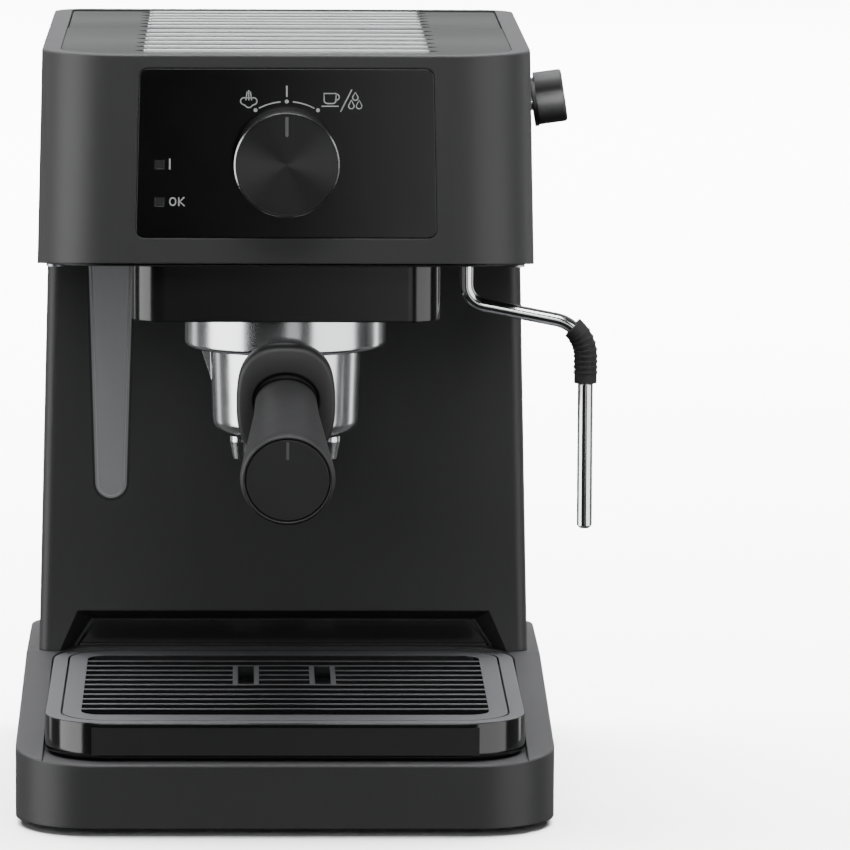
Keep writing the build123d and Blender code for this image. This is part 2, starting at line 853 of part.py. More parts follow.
# Glossy fascia round the group, hung under the head
with BuildPart() as group_fascia:
    fascia_half = fascia_width / 2
    fascia_rear = column_front - fit
    outline = even_plan(fascia_bottom, fascia_half, fascia_front, fascia_rear, fascia_radius, small_radius)
    extrude(outline, amount=floor_top - fascia_bottom)
    with BuildSketch(Plane.YZ):
        slope = [(floor_front, head_bottom + floor_rise), (head_front + head_front_radius, head_bottom)]
        level = [(column_front, head_bottom), (column_front, floor_top), (floor_front, floor_top)]
        Polygon(*slope, *level, align=None)
    extrude(amount=fascia_width, both=True, mode=Mode.SUBTRACT)
    fillet(group_fascia.faces().sort_by(Axis.Z)[0].outer_wire().edges(), edge_round / 4)
    inner_half = fascia_half - fascia_wall
    inner_corner = inner_radius(fascia_radius, fascia_wall)
    inner_front = fascia_front + fascia_wall
    inner_rear = fascia_rear - fascia_wall
    outline = even_plan(fascia_plate_top, inner_half, inner_front, inner_rear, inner_corner, small_radius)
    extrude(outline, amount=floor_top - fascia_plate_top, mode=Mode.SUBTRACT)
    with BuildSketch(Plane.XY.offset(fascia_bottom)):
        with Locations((0, group_y)):
            Circle(ring_diameter / 2 + fit)
    extrude(amount=fascia_wall, mode=Mode.SUBTRACT)
    with BuildSketch(Plane.XY.offset(fascia_plate_top)):
        with Locations(*fascia_spots):
            Circle(boss_diameter / 2)
    extrude(amount=head_bottom - fascia_plate_top)
    with BuildSketch(Plane.XY.offset(head_bottom)):
        with Locations(*fascia_spots):
            Circle(pilot_hole / 2)
    extrude(amount=-screw_length, mode=Mode.SUBTRACT)
group_fascia.part.label = "group_fascia"

# All the casing's screws, which are alike
with BuildPart() as casing_screws:
    with Locations(*[Location((x, y, foot_height), upside_down) for x, y in base_spots]):
        pan_screw()
    with Locations(*[Location((x, y, deck_bottom), upside_down) for x, y in column_spots]):
        pan_screw()
    with Locations(*[Location((x, casing_rear + cover_sheet, z), facing_back) for x, z in cover_spots]):
        pan_screw()
    with Locations(*[Location((x, y, head_bottom), upside_down) for x, y in head_spots]):
        pan_screw()
    with Locations(*[Location((x, y, floor_top)) for x, y in fascia_spots]):
        pan_screw()
casing_screws.part.label = "casing_screws"

# Cup shelf: ribbed steel sheet in the roof's recess
with BuildPart() as cup_shelf:
    shelf_half = shelf_width / 2
    shelf_front = head_front + wall
    shelf_rear = top_split - lid_gap
    outline = even_plan(shelf_bottom, shelf_half, shelf_front, shelf_rear, shelf_front_radius, fit)
    extrude(outline, amount=sheet)
    with BuildSketch(Plane.XY.offset(head_top)):
        with Locations((0, (shelf_front + shelf_rear) / 2)):
            with GridLocations(0, rib_pitch, 1, rib_count):
                SlotOverall(rib_length, rib_width)
    extrude(amount=rib_height)
    fillet(cup_shelf.faces().group_by(Axis.Z)[-1].edges(), rib_height / 2)
cup_shelf.part.label = "cup_shelf"

# Gloss panel let into the head's front
with BuildPart() as control_panel:
    extrude(panel_outline(0), amount=-panel_thickness)
    with BuildSketch(front_of_head):
        with Locations((0, dial_height)):
            Circle(shaft_diameter / 2 + 2 * fit)
        with Locations((lens_x, lens_upper), (lens_x, lens_upper - lens_spacing)):
            Rectangle(lens_size + fit, lens_size + fit)
    extrude(amount=-panel_thickness, mode=Mode.SUBTRACT)
control_panel.part.label = "control_panel"

# Two square lamp lenses through the panel
with BuildPart() as indicator_lenses:
    with BuildSketch(front_of_head):
        with Locations((lens_x, lens_upper), (lens_x, lens_upper - lens_spacing)):
            Rectangle(lens_size, lens_size)
    extrude(amount=-wall)
indicator_lenses.part.label = "indicator_lenses"

# Rotary switch behind the panel
switch_front = head_front + wall + fit
with BuildPart() as selector_switch:
    with BuildSketch(Plane.XZ.offset(-switch_front)):
        with Locations((0, dial_height)):
            RectangleRounded(switch_size, switch_size, edge_round)
            Circle(shaft_diameter / 2 + fit, mode=Mode.SUBTRACT)
    extrude(amount=-switch_depth)
    with BuildSketch(Plane.XZ.offset(-switch_front - switch_depth)):
        with Locations((0, dial_height)):
            Rectangle(switch_size, switch_size)
    extrude(amount=-bracket_sheet)
selector_switch.part.label = "selector_switch"

# Shaft from the switch to the dial
dial_back = head_front - dial_gap
with BuildPart() as selector_shaft:
    with BuildSketch(Plane.XZ.offset(-dial_back + shaft_socket)):
        with Locations((0, dial_height)):
            Circle(shaft_diameter / 2)
    extrude(amount=-(shaft_socket + dial_gap + wall + switch_depth / 2))
selector_shaft.part.label = "selector_shaft"

# Dial: a drum with a thin raised rim round its face
with BuildPart() as selector_dial:
    with BuildSketch(Plane.XZ.offset(-dial_back)):
        with Locations((0, dial_height)):
            Circle(dial_diameter / 2)
    extrude(amount=dial_length)
    chamfer(selector_dial.faces().sort_by(Axis.Y)[0].edges(), dial_dish)
    with BuildSketch(Plane.XZ.offset(-dial_back + dial_length)):
        with Locations((0, dial_height)):
            Circle(dial_diameter / 2 - dial_rim)
    extrude(amount=-dial_dish, mode=Mode.SUBTRACT)
    with BuildSketch(Plane.XZ.offset(-dial_back)):
        with Locations((0, dial_height)):
            Circle(shaft_diameter / 2)
    extrude(amount=shaft_socket, mode=Mode.SUBTRACT)
selector_dial.part.label = "selector_dial"

# Control board on its standoffs, with its relay and capacitor
with BuildPart() as power_board:
    board_bottom = floor_top + board_standoff
    board_top = board_bottom + board_thickness
    with BuildSketch(Plane.XY.offset(board_bottom)):
        with Locations((board_x, board_y)):
            Rectangle(board_width, board_length)
    extrude(amount=board_thickness)
    with BuildSketch(Plane.XY.offset(board_top)):
        with Locations((board_x, board_y + board_length / 4)):
            Rectangle(board_width / 2, board_length / 4)
    extrude(amount=board_width / 2)
    with BuildSketch(Plane.XY.offset(board_top)):
        with Locations((board_x, board_y - board_length / 4)):
            Circle(board_width / 5)
    extrude(amount=board_width / 2)
power_board.part.label = "power_board"

# Bayonet ring of the group: lip with two ways in, channel for the lugs, flange under the boiler
ring_radius = ring_diameter / 2
flange_radius = ring_radius + ring_flange_width
with BuildPart() as group_ring:
    with BuildSketch(group_section):
        Polygon(
            (lip_radius, ring_bottom),
            (ring_radius, ring_bottom),
            (ring_radius, flange_bottom),
            (flange_radius, flange_bottom),
            (flange_radius, boiler_bottom),
            (channel_radius - lug_clearance, boiler_bottom),
            (channel_radius - lug_clearance, channel_top),
            (channel_radius, channel_top),
            (channel_radius, channel_bottom),
            (lip_radius, channel_bottom),
            align=None,
        )
    revolve(axis=group_axis)
    fillet(group_ring.faces().sort_by(Axis.Z)[0].outer_wire().edges(), ring_round)
    with BuildSketch(Plane((0, group_y, ring_bottom))):
        Circle(channel_radius)
        Rectangle(4 * ring_radius, lug_width + 4 * lug_clearance, rotation=-unlock_angle, mode=Mode.INTERSECT)
    extrude(amount=ring_lip, mode=Mode.SUBTRACT)
    with BuildSketch(Plane((0, group_y, flange_bottom))):
        with PolarLocations(ear_circle, ear_count, start_angle=ear_angle):
            Circle(screw_hole / 2)
    extrude(amount=ring_flange, mode=Mode.SUBTRACT)
group_ring.part.label = "group_ring"

# Rubber gasket that the portafilter presses on
with BuildPart() as group_gasket:
    with BuildSketch(Plane((0, group_y, gasket_bottom))):
        Circle(channel_radius - lug_clearance - fit)
        Circle(gasket_bore / 2, mode=Mode.SUBTRACT)
    extrude(amount=boiler_bottom - gasket_bottom)
group_gasket.part.label = "group_gasket"

# Perforated shower screen under the boiler
with BuildPart() as shower_screen:
    with BuildSketch(Plane((0, group_y, boiler_bottom))):
        Circle(screen_diameter / 2)
    extrude(amount=-screen_drop)
    with BuildSketch(Plane((0, group_y, boiler_bottom))):
        Circle(screen_diameter / 2 - screen_sheet)
    extrude(amount=-screen_drop + screen_sheet, mode=Mode.SUBTRACT)
    with BuildSketch(Plane((0, group_y, boiler_bottom - screen_drop))):
        Circle(screw_hole / 2)
        for circle, count in zip(screen_circles, screen_counts):
            with PolarLocations(circle, count):
                Circle(screen_sheet)
    extrude(amount=screen_sheet, mode=Mode.SUBTRACT)
shower_screen.part.label = "shower_screen"

# Boiler body: a cast cup with four ears and a hose port at the rear
boiler_radius = boiler_diameter / 2
hose_port_z = boiler_top - hose_port_drop
hose_port_y = group_y + boiler_radius + port_length
with BuildPart() as boiler_body:
    with BuildSketch(Plane((0, group_y, boiler_bottom))):
        Circle(boiler_radius)
        with PolarLocations(ear_circle, ear_count, start_angle=ear_angle):
            Circle(boiler_ear / 2)
    extrude(amount=boiler_height)
    with BuildSketch(Plane.XZ.offset(-hose_port_y)):
        with Locations((0, hose_port_z)):
            Circle(port_diameter / 2)
    extrude(amount=port_length + boiler_wall)
    with BuildSketch(Plane((0, group_y, boiler_bottom + boiler_floor))):
        Circle(boiler_radius - boiler_wall)
    extrude(amount=boiler_height - boiler_floor, mode=Mode.SUBTRACT)
    with BuildSketch(Plane.XZ.offset(-hose_port_y)):
        with Locations((0, hose_port_z)):
            Circle(hose_bore / 2)
    extrude(amount=port_length + 2 * boiler_wall, mode=Mode.SUBTRACT)
    with BuildSketch(Plane((0, group_y, boiler_bottom))):
        Circle(pilot_hole / 2)
        with PolarLocations(screen_diameter / 5, 4):
            Circle(hose_bore / 2)
    extrude(amount=boiler_floor, mode=Mode.SUBTRACT)
    with BuildSketch(Plane((0, group_y, boiler_bottom))):
        with PolarLocations(ear_circle, ear_count, start_angle=ear_angle):
            Circle(pilot_hole / 2)
    extrude(amount=boiler_height, mode=Mode.SUBTRACT)
    with BuildSketch(Plane((0, group_y, boiler_top))):
        Circle(boiler_radius - boiler_wall / 2 + seal_width / 2)
        Circle(boiler_radius - boiler_wall / 2 - seal_width / 2, mode=Mode.SUBTRACT)
    extrude(amount=-seal_width, mode=Mode.SUBTRACT)
boiler_body.part.label = "boiler_body"

# Seal in the boiler's top groove
with BuildPart() as boiler_seal:
    with BuildSketch(Plane((0, group_y, boiler_top))):
        Circle(boiler_radius - boiler_wall / 2 + seal_width / 2)
        Circle(boiler_radius - boiler_wall / 2 - seal_width / 2, mode=Mode.SUBTRACT)
    extrude(amount=-seal_width)
boiler_seal.part.label = "boiler_seal"

# Boiler cover with the steam port and the element's two ways out
element_radius = element_ring / 2
element_half_gap = element_gap_angle / 2
steam_port_x = element_radius
element_ends = [element_middle_angle - element_half_gap, element_middle_angle + element_half_gap]
with BuildPart() as boiler_cover:
    with BuildSketch(Plane((0, group_y, boiler_top))):
        Circle(boiler_radius)
        with PolarLocations(ear_circle, ear_count, start_angle=ear_angle):
            Circle(boiler_ear / 2)
    extrude(amount=boiler_cover_thickness)
    with BuildSketch(Plane((0, group_y, boiler_top))):
        with PolarLocations(ear_circle, ear_count, start_angle=ear_angle):
            Circle(screw_hole / 2)
        for angle in element_ends:
            with PolarLocations(element_radius, 1, start_angle=angle):
                Circle(element_diameter / 2 + fit)
        with Locations((steam_port_x, 0)):
            Circle(hose_bore / 2)
    extrude(amount=boiler_cover_thickness, mode=Mode.SUBTRACT)
boiler_cover.part.label = "boiler_cover"

# Screws of the boiler: four down through the cover, four up through the ring's flange, one under the screen
with BuildPart() as boiler_screws:
    with Locations(Location((0, group_y, cover_top))):
        with PolarLocations(ear_circle, ear_count, start_angle=ear_angle):
            pan_screw()
    with Locations(Location((0, group_y, flange_bottom), upside_down)):
        with PolarLocations(ear_circle, ear_count, start_angle=ear_angle):
            pan_screw()
    with Locations(Location((0, group_y, boiler_bottom - screen_drop), upside_down)):
        pan_screw()
boiler_screws.part.label = "boiler_screws"

# Heating element: an open ring in the boiler with two risers through the cover
element_z = boiler_bottom + boiler_floor + 1.5 * element_diameter
element_start = math.radians(element_middle_angle + element_half_gap)
element_plane = Plane(
    origin=(0, group_y, element_z),
    x_dir=(math.cos(element_start), math.sin(element_start), 0),
    z_dir=(math.sin(element_start), -math.cos(element_start), 0),
)
with BuildPart() as heating_element:
    with BuildSketch(element_plane):
        with Locations((element_radius, 0)):
            Circle(element_diameter / 2)
    revolve(axis=group_axis, revolution_arc=360 - element_gap_angle)
    with BuildSketch(Plane((0, group_y, element_z))):
        for angle in element_ends:
            with PolarLocations(element_radius, 1, start_angle=angle):
                Circle(element_diameter / 2)
    extrude(amount=cover_top + port_length - element_z)
heating_element.part.label = "heating_element"

# Two thermostats on the boiler's cover
with BuildPart() as thermostats:
    with BuildSketch(Plane((0, group_y, cover_top))):
        with Locations((0, thermostat_y), (0, -thermostat_y)):
            Circle(thermostat_diameter / 2)
    extrude(amount=thermostat_height)
    fillet(thermostats.edges().group_by(Axis.Z)[-1], edge_round / 2)
thermostats.part.label = "thermostats"

# Steam valve along the knob's axis, with its outlet straight down to the wand
valve_front = -(wall + valve_setback)
valve_back = valve_front - valve_length
wand_valve_z = knob_height - (knob_side - wand_x) * math.tan(tilt)
with BuildPart() as steam_valve:
    with BuildSketch(knob_face.offset(valve_back)):
        Circle(valve_diameter / 2)
    extrude(amount=valve_length)
    with BuildSketch(Plane((wand_x, group_y, swivel_top))):
        Circle(valve_port / 2)
    extrude(amount=wand_valve_z - swivel_top)
    with BuildSketch(knob_face.offset(valve_front)):
        Circle(spindle_diameter / 2 + fit)
    extrude(amount=-valve_length / 2, mode=Mode.SUBTRACT)
    with BuildSketch(Plane((wand_x, group_y, swivel_top))):
        Circle(pipe_bore / 2)
    extrude(amount=wand_valve_z - swivel_top, mode=Mode.SUBTRACT)
    with BuildSketch(knob_face.offset(valve_back)):
        Circle(hose_bore / 2)
    extrude(amount=valve_length / 2, mode=Mode.SUBTRACT)
steam_valve.part.label = "steam_valve"

# Pipe from the boiler's cover to the steam valve
valve_entry = knob_face.offset(valve_back).origin
steam_corner_z = valve_entry.Z - (valve_entry.X - steam_port_x) * math.tan(tilt)
with BuildPart() as steam_inlet_pipe:
    tube(
        [
            (valve_entry.X, group_y, valve_entry.Z),
            (steam_port_x, group_y, steam_corner_z),
            (steam_port_x, group_y, cover_top),
        ],
        pipe_elbow_radius,
        hose_diameter,
        hose_bore,
    )
steam_inlet_pipe.part.label = "steam_inlet_pipe"

# Spindle from the valve out to the knob
spindle_length = valve_setback + wall + valve_length / 4 + knob_gap + knob_collar + knob_length / 2
with BuildPart() as valve_spindle:
    with BuildSketch(knob_face.offset(knob_gap + knob_collar + knob_length / 2)):
        Circle(spindle_diameter / 2)
    extrude(amount=-spindle_length)
valve_spindle.part.label = "valve_spindle"

# Three-lobed steam knob with a round collar behind it
with BuildPart() as steam_knob:
    with BuildSketch(knob_face.offset(knob_gap + knob_collar)) as knob_outline:
        Circle(knob_lobe_radius / 2)
        with PolarLocations(knob_lobe_radius, knob_lobe_count, start_angle=knob_first_lobe):
            Circle(knob_lobe_diameter / 2)
        fillet(knob_outline.vertices(), knob_notch_radius)
    extrude(amount=knob_length)
    knob_axis = Axis(knob_face.origin, knob_face.z_dir)
    fillet(steam_knob.faces().sort_by(knob_axis)[-1].edges(), knob_edge_round)
    with BuildSketch(knob_face.offset(knob_gap)):
        Circle(knob_collar_diameter / 2)
    extrude(amount=knob_collar)
    with BuildSketch(knob_face.offset(knob_gap)):
        Circle(spindle_diameter / 2)
    extrude(amount=knob_collar + knob_length / 2, mode=Mode.SUBTRACT)
steam_knob.part.label = "steam_knob"

# Swivel socket in the head's floor that the wand turns in
with BuildPart() as wand_swivel:
    with BuildSketch(Plane((wand_x, group_y, head_bottom))):
        Circle(swivel_diameter / 2)
    extrude(amount=swivel_top - head_bottom)
    with BuildSketch(Plane((wand_x, group_y, floor_top))):
        Circle(swivel_flange / 2)
    extrude(amount=swivel_flange_height)
    with BuildSketch(Plane((wand_x, group_y, head_bottom))):
        Circle(pipe_diameter / 2 + fit)
    extrude(amount=pipe_top + fit - head_bottom, mode=Mode.SUBTRACT)
    with BuildSketch(Plane((wand_x, group_y, head_bottom))):
        Circle(pipe_bore / 2)
    extrude(amount=swivel_top - head_bottom, mode=Mode.SUBTRACT)
wand_swivel.part.label = "wand_swivel"

# Bent steam pipe: down out of the head, out to the side and down again
pipe_slope = math.degrees(math.atan2(pipe_drop, pipe_reach))
bend_z = pipe_elbow_z - pipe_drop
nozzle_top = grip_bottom + nozzle_collar
with BuildPart() as steam_pipe:
    tube(
        [
            (wand_x, group_y, pipe_top),
            (wand_x, group_y, pipe_elbow_z),
            (grip_x, group_y, bend_z),
            (grip_x, group_y, nozzle_top),
        ],
        [pipe_elbow_radius, pipe_bend_radius],
        pipe_diameter,
        pipe_bore,
    )
steam_pipe.part.label = "steam_pipe"

# Rubber grip round the wand's last bend, with finger ribs
arc_end_z = bend_z - pipe_bend_radius * math.tan(math.radians(90 - pipe_slope) / 2)
with BuildPart() as wand_grip:
    with BuildLine(group_section) as grip_route:
        bend_centre = (grip_x - pipe_bend_radius, arc_end_z)
        CenterArc(bend_centre, pipe_bend_radius, grip_start_angle, -grip_start_angle)
        Line((grip_x, arc_end_z), (grip_x, grip_bottom))
    grip_start = Plane(origin=grip_route.line @ 0, z_dir=grip_route.line % 0)
    with BuildSketch(grip_start) as grip_section:
        Circle(grip_diameter / 2)
    sweep(grip_section.sketch, path=grip_route.line)
    for rib in range(grip_rib_count):
        with Locations(grip_route.line ^ ((rib + 2) / (grip_rib_count + 3))):
            Cylinder(grip_diameter / 2 + grip_rib, grip_rib_width)
    with BuildSketch(grip_start) as grip_bore:
        Circle(pipe_diameter / 2)
    sweep(grip_bore.sketch, path=grip_route.line, mode=Mode.SUBTRACT)
wand_grip.part.label = "wand_grip"

# Steam nozzle: a collar in the grip and a thin tube inside the frother sleeve
with BuildPart() as steam_nozzle:
    with BuildSketch(Plane((grip_x, group_y, nozzle_top))):
        Circle(pipe_diameter / 2)
    extrude(amount=-nozzle_collar)
    with BuildSketch(Plane((grip_x, group_y, nozzle_tip))):
        Circle(nozzle_diameter / 2)
    extrude(amount=nozzle_top - nozzle_tip)
    with BuildSketch(Plane((grip_x, group_y, nozzle_tip))):
        Circle(nozzle_bore / 2)
    extrude(amount=nozzle_top - nozzle_tip, mode=Mode.SUBTRACT)
steam_nozzle.part.label = "steam_nozzle"

# Frother sleeve that slides over the nozzle
sleeve_top = grip_bottom - sleeve_gap
with BuildPart() as frother_sleeve:
    with BuildSketch(Plane((grip_x, group_y, sleeve_tip))):
        Circle(sleeve_diameter / 2)
    extrude(amount=sleeve_top - sleeve_tip)
    chamfer(frother_sleeve.faces().sort_by(Axis.Z)[0].edges(), sleeve_chamfer)
    with BuildSketch(Plane((grip_x, group_y, sleeve_tip + sleeve_floor))):
        Circle(sleeve_bore / 2)
    extrude(amount=sleeve_top - sleeve_tip - sleeve_floor, mode=Mode.SUBTRACT)
    with BuildSketch(Plane((grip_x, group_y, sleeve_tip))):
        Circle(sleeve_hole / 2)
    extrude(amount=sleeve_floor, mode=Mode.SUBTRACT)
frother_sleeve.part.label = "frother_sleeve"

# Vibration pump lying across the foot of the column
barrel_half = pump_length / 2
outlet_end = barrel_half + outlet_length
inlet_end = barrel_half + nipple_length
upright_x = (pump_coil_length / 2 + barrel_half) / 2
with BuildPart() as pump:
    with Locations((0, water_y, pump_height)):
        Box(pump_coil_length, pump_coil_width, pump_coil_height)
    fillet(pump.edges().filter_by(Axis.X), edge_round)
    with BuildSketch(Plane.YZ.offset(-barrel_half)):
        with Locations((water_y, pump_height)):
            Circle(pump_barrel / 2)
    extrude(amount=pump_length)
    with BuildSketch(Plane.YZ.offset(-inlet_end)):
        with Locations((water_y, pump_height)):
            Circle(nipple_diameter / 2)
    extrude(amount=inlet_end + outlet_end)
pump.part.label = "pump"

# Two rubber bushes that carry the pump in its bracket
bush_diameter = pump_barrel + 2 * bush_thickness
with BuildPart() as pump_bushes:
    for x in (-upright_x, upright_x):
        with BuildSketch(Plane.YZ.offset(x - bush_length / 2)):
            with Locations((water_y, pump_height)):
                Circle(bush_diameter / 2)
                Circle(pump_barrel / 2, mode=Mode.SUBTRACT)
        extrude(amount=bush_length)
pump_bushes.part.label = "pump_bushes"

# Steel bracket with two uprights, standing on the base plate
with BuildPart() as pump_bracket:
    with BuildSketch(Plane.XY.offset(plate_top)):
        with Locations((0, water_y)):
            Rectangle(2 * upright_x + bracket_sheet, bracket_width)
    extrude(amount=bracket_sheet)
    for x in (-upright_x, upright_x):
        with BuildSketch(Plane.YZ.offset(x - bracket_sheet / 2)):
            with Locations((water_y, (plate_top + pump_height + bush_diameter / 2 + bush_thickness) / 2)):
                Rectangle(bracket_width, pump_height + bush_diameter / 2 + bush_thickness - plate_top)
            with Locations((water_y, pump_height)):
                Circle(bush_diameter / 2, mode=Mode.SUBTRACT)
        extrude(amount=bracket_sheet)
pump_bracket.part.label = "pump_bracket"

# Brass relief valve on the pump's outlet
with BuildPart() as relief_valve:
    with BuildSketch(Plane.YZ.offset(outlet_end)):
        with Locations((water_y, pump_height)):
            RegularPolygon(relief_size / 2, 6)
    extrude(amount=relief_length)
relief_valve.part.label = "relief_valve"

# Suction hose from the tank's seat to the pump
nipple_bottom = seat_top - socket_depth - nipple_length
with BuildPart() as suction_hose:
    tube(
        [
            (valve_x, water_y, nipple_bottom),
            (valve_x, water_y, pump_height),
            (-inlet_end, water_y, pump_height),
        ],
        hose_bend,
        hose_diameter,
        hose_bore,
    )
suction_hose.part.label = "suction_hose"

# Pressure hose from the relief valve up the column and forward to the boiler
with BuildPart() as pressure_hose:
    tube(
        [
            (outlet_end + relief_length, water_y, pump_height),
            (hose_riser_x, water_y, pump_height),
            (hose_riser_x, water_y, hose_port_z),
            (hose_riser_x, hose_front_y, hose_port_z),
            (0, hose_front_y, hose_port_z),
            (0, hose_port_y, hose_port_z),
        ],
        hose_bend,
        hose_diameter,
        hose_bore,
    )
pressure_hose.part.label = "pressure_hose"

# Seat under the tank, with the socket that its valve plugs into
seal_bottom = seat_top - seal_height - seal_thickness / 2
with BuildPart() as tank_seat:
    seat_half = half_width(seat_top) - wall - fit
    seat_front = column_front + wall + window_flange + fit
    seat_rear = casing_rear - wall - fit
    seat_corner = inner_radius(casing_rear_radius, wall + fit)
    outline = even_plan(seat_bottom, seat_half, seat_front, seat_rear, edge_round, seat_corner)
    extrude(outline, amount=seat_thickness)
    with BuildSketch(Plane((valve_x, water_y, seat_bottom))):
        Circle(socket_diameter / 2)
    extrude(amount=seat_thickness - socket_depth)
    with BuildSketch(Plane((valve_x, water_y, nipple_bottom))):
        Circle(nipple_diameter / 2)
    extrude(amount=nipple_length)
    with BuildSketch(Plane((valve_x, water_y, seal_bottom))):
        Circle(spigot_diameter / 2 + seal_thickness)
    extrude(amount=seat_top - seal_bottom, mode=Mode.SUBTRACT)
    with BuildSketch(Plane((valve_x, water_y, seat_top - socket_depth + socket_floor))):
        Circle(spigot_diameter / 2 + fit)
    extrude(amount=socket_depth, mode=Mode.SUBTRACT)
    with BuildSketch(Plane((valve_x, water_y, nipple_bottom))):
        Circle(hose_bore / 2)
    extrude(amount=nipple_length + 2 * socket_floor, mode=Mode.SUBTRACT)
    with BuildSketch(Plane((hose_riser_x, water_y, seat_bottom))):
        Circle(hose_diameter / 2 + screw_clearance)
    extrude(amount=seat_thickness, mode=Mode.SUBTRACT)
tank_seat.part.label = "tank_seat"

# Seal ring in the socket
with BuildPart() as tank_seal:
    with BuildSketch(Plane((valve_x, water_y, seal_bottom))):
        Circle(spigot_diameter / 2 + seal_thickness)
        Circle(spigot_diameter / 2 + fit, mode=Mode.SUBTRACT)
    extrude(amount=seal_height)
tank_seal.part.label = "tank_seal"

# Water tank: an open box with two hinge ears at the rear of its rim
with BuildPart() as water_tank:
    extrude(tank_plan(tank_bottom, 0), amount=tank_top - tank_bottom)
    fillet(water_tank.faces().sort_by(Axis.Z)[0].edges(), tank_wall / 2)
    extrude(tank_plan(tank_bottom + tank_wall, tank_wall), amount=tank_top - tank_bottom, mode=Mode.SUBTRACT)
    with BuildSketch(Plane((valve_x, water_y, tank_bottom))):
        Circle(spigot_diameter / 2)
    extrude(amount=tank_wall, mode=Mode.SUBTRACT)
    for side in (-1, 1):
        with BuildSketch(Plane.YZ.offset(tank_middle + side * ear_offset - ear_width / 2)):
            Polygon(
                (tank_rear - tank_wall, tank_top - 2 * knuckle_diameter),
                (tank_rear - tank_wall, tank_top),
                (lid_axis_y, lid_axis_z + knuckle_diameter / 2),
                (lid_axis_y, lid_axis_z - knuckle_diameter / 2),
                align=None,
            )
            with Locations((lid_axis_y, lid_axis_z)):
                Circle(knuckle_diameter / 2)
                Circle(lid_pin_diameter / 2, mode=Mode.SUBTRACT)
        extrude(amount=ear_width)
water_tank.part.label = "water_tank"

# Valve spigot in the tank's floor
with BuildPart() as tank_valve:
    with BuildSketch(Plane((valve_x, water_y, spigot_bottom))):
        Circle(spigot_diameter / 2)
    extrude(amount=spigot_length + 2 * tank_wall)
    with BuildSketch(Plane((valve_x, water_y, tank_bottom + tank_wall))):
        Circle(spigot_diameter / 2 + tank_wall)
    extrude(amount=tank_wall)
    with BuildSketch(Plane((valve_x, water_y, spigot_bottom))):
        Circle(hose_bore / 2)
    extrude(amount=spigot_length + 2 * tank_wall, mode=Mode.SUBTRACT)
tank_valve.part.label = "tank_valve"

# Tank lid with knuckles on the hinge pin
lid_front = top_split + lid_gap
lid_rear = lid_axis_y + lid_tail
notch_front = lid_axis_y - knuckle_diameter - lid_gap
with BuildPart() as tank_lid:
    lid_half = lid_width / 2
    outline = even_plan(lid_bottom, lid_half, lid_front, lid_rear, edge_round, lid_corner)
    extrude(outline, amount=lid_thickness)
    with BuildSketch(Plane.XY.offset(lid_bottom)):
        for side in (-1, 1):
            with Locations((tank_middle + side * ear_offset, (notch_front + casing_rear) / 2)):
                Rectangle(ear_width + 2 * lid_gap, casing_rear - notch_front)
    extrude(amount=lid_thickness, mode=Mode.SUBTRACT)
    for side in (-1, 1):
        with BuildSketch(Plane.YZ.offset(tank_middle + side * knuckle_offset - knuckle_width / 2)):
            with Locations((lid_axis_y, lid_axis_z)):
                Circle(knuckle_diameter / 2)
        extrude(amount=knuckle_width)
    with BuildSketch(Plane.YZ.offset(tank_middle - ear_offset)):
        with Locations((lid_axis_y, lid_axis_z)):
            Circle(lid_pin_diameter / 2 + fit)
    extrude(amount=2 * ear_offset, mode=Mode.SUBTRACT)
tank_lid.part.label = "tank_lid"

# Ribbed steel sheet on the lid
with BuildPart() as lid_plate:
    plate_rear = notch_front - lid_gap
    outline = even_plan(lid_top, lid_half, lid_front, plate_rear, fit, edge_round)
    extrude(outline, amount=sheet)
    with BuildSketch(Plane.XY.offset(head_top)):
        with Locations((0, (lid_front + plate_rear) / 2)):
            with GridLocations(0, lid_rib_pitch, 1, rib_count):
                SlotOverall(rib_length, rib_width)
    extrude(amount=rib_height)
    fillet(lid_plate.faces().group_by(Axis.Z)[-1].edges(), rib_height / 2)
lid_plate.part.label = "lid_plate"

# Hinge pin of the lid
with BuildPart() as lid_pin:
    pin_half = ear_offset + ear_width / 2
    with BuildSketch(Plane.YZ.offset(tank_middle - pin_half)):
        with Locations((lid_axis_y, lid_axis_z)):
            Circle(lid_pin_diameter / 2)
    extrude(amount=2 * pin_half)
lid_pin.part.label = "lid_pin"

# Portafilter handle's axis: forward from its root and a little down
lean = math.radians(handle_tilt)
handle_root = Plane(
    origin=(0, handle_root_y, handle_root_z),
    x_dir=(1, 0, 0),
    z_dir=(0, -math.cos(lean), -math.sin(lean)),
)
handle_axis = Axis(handle_root.origin, handle_root.z_dir)

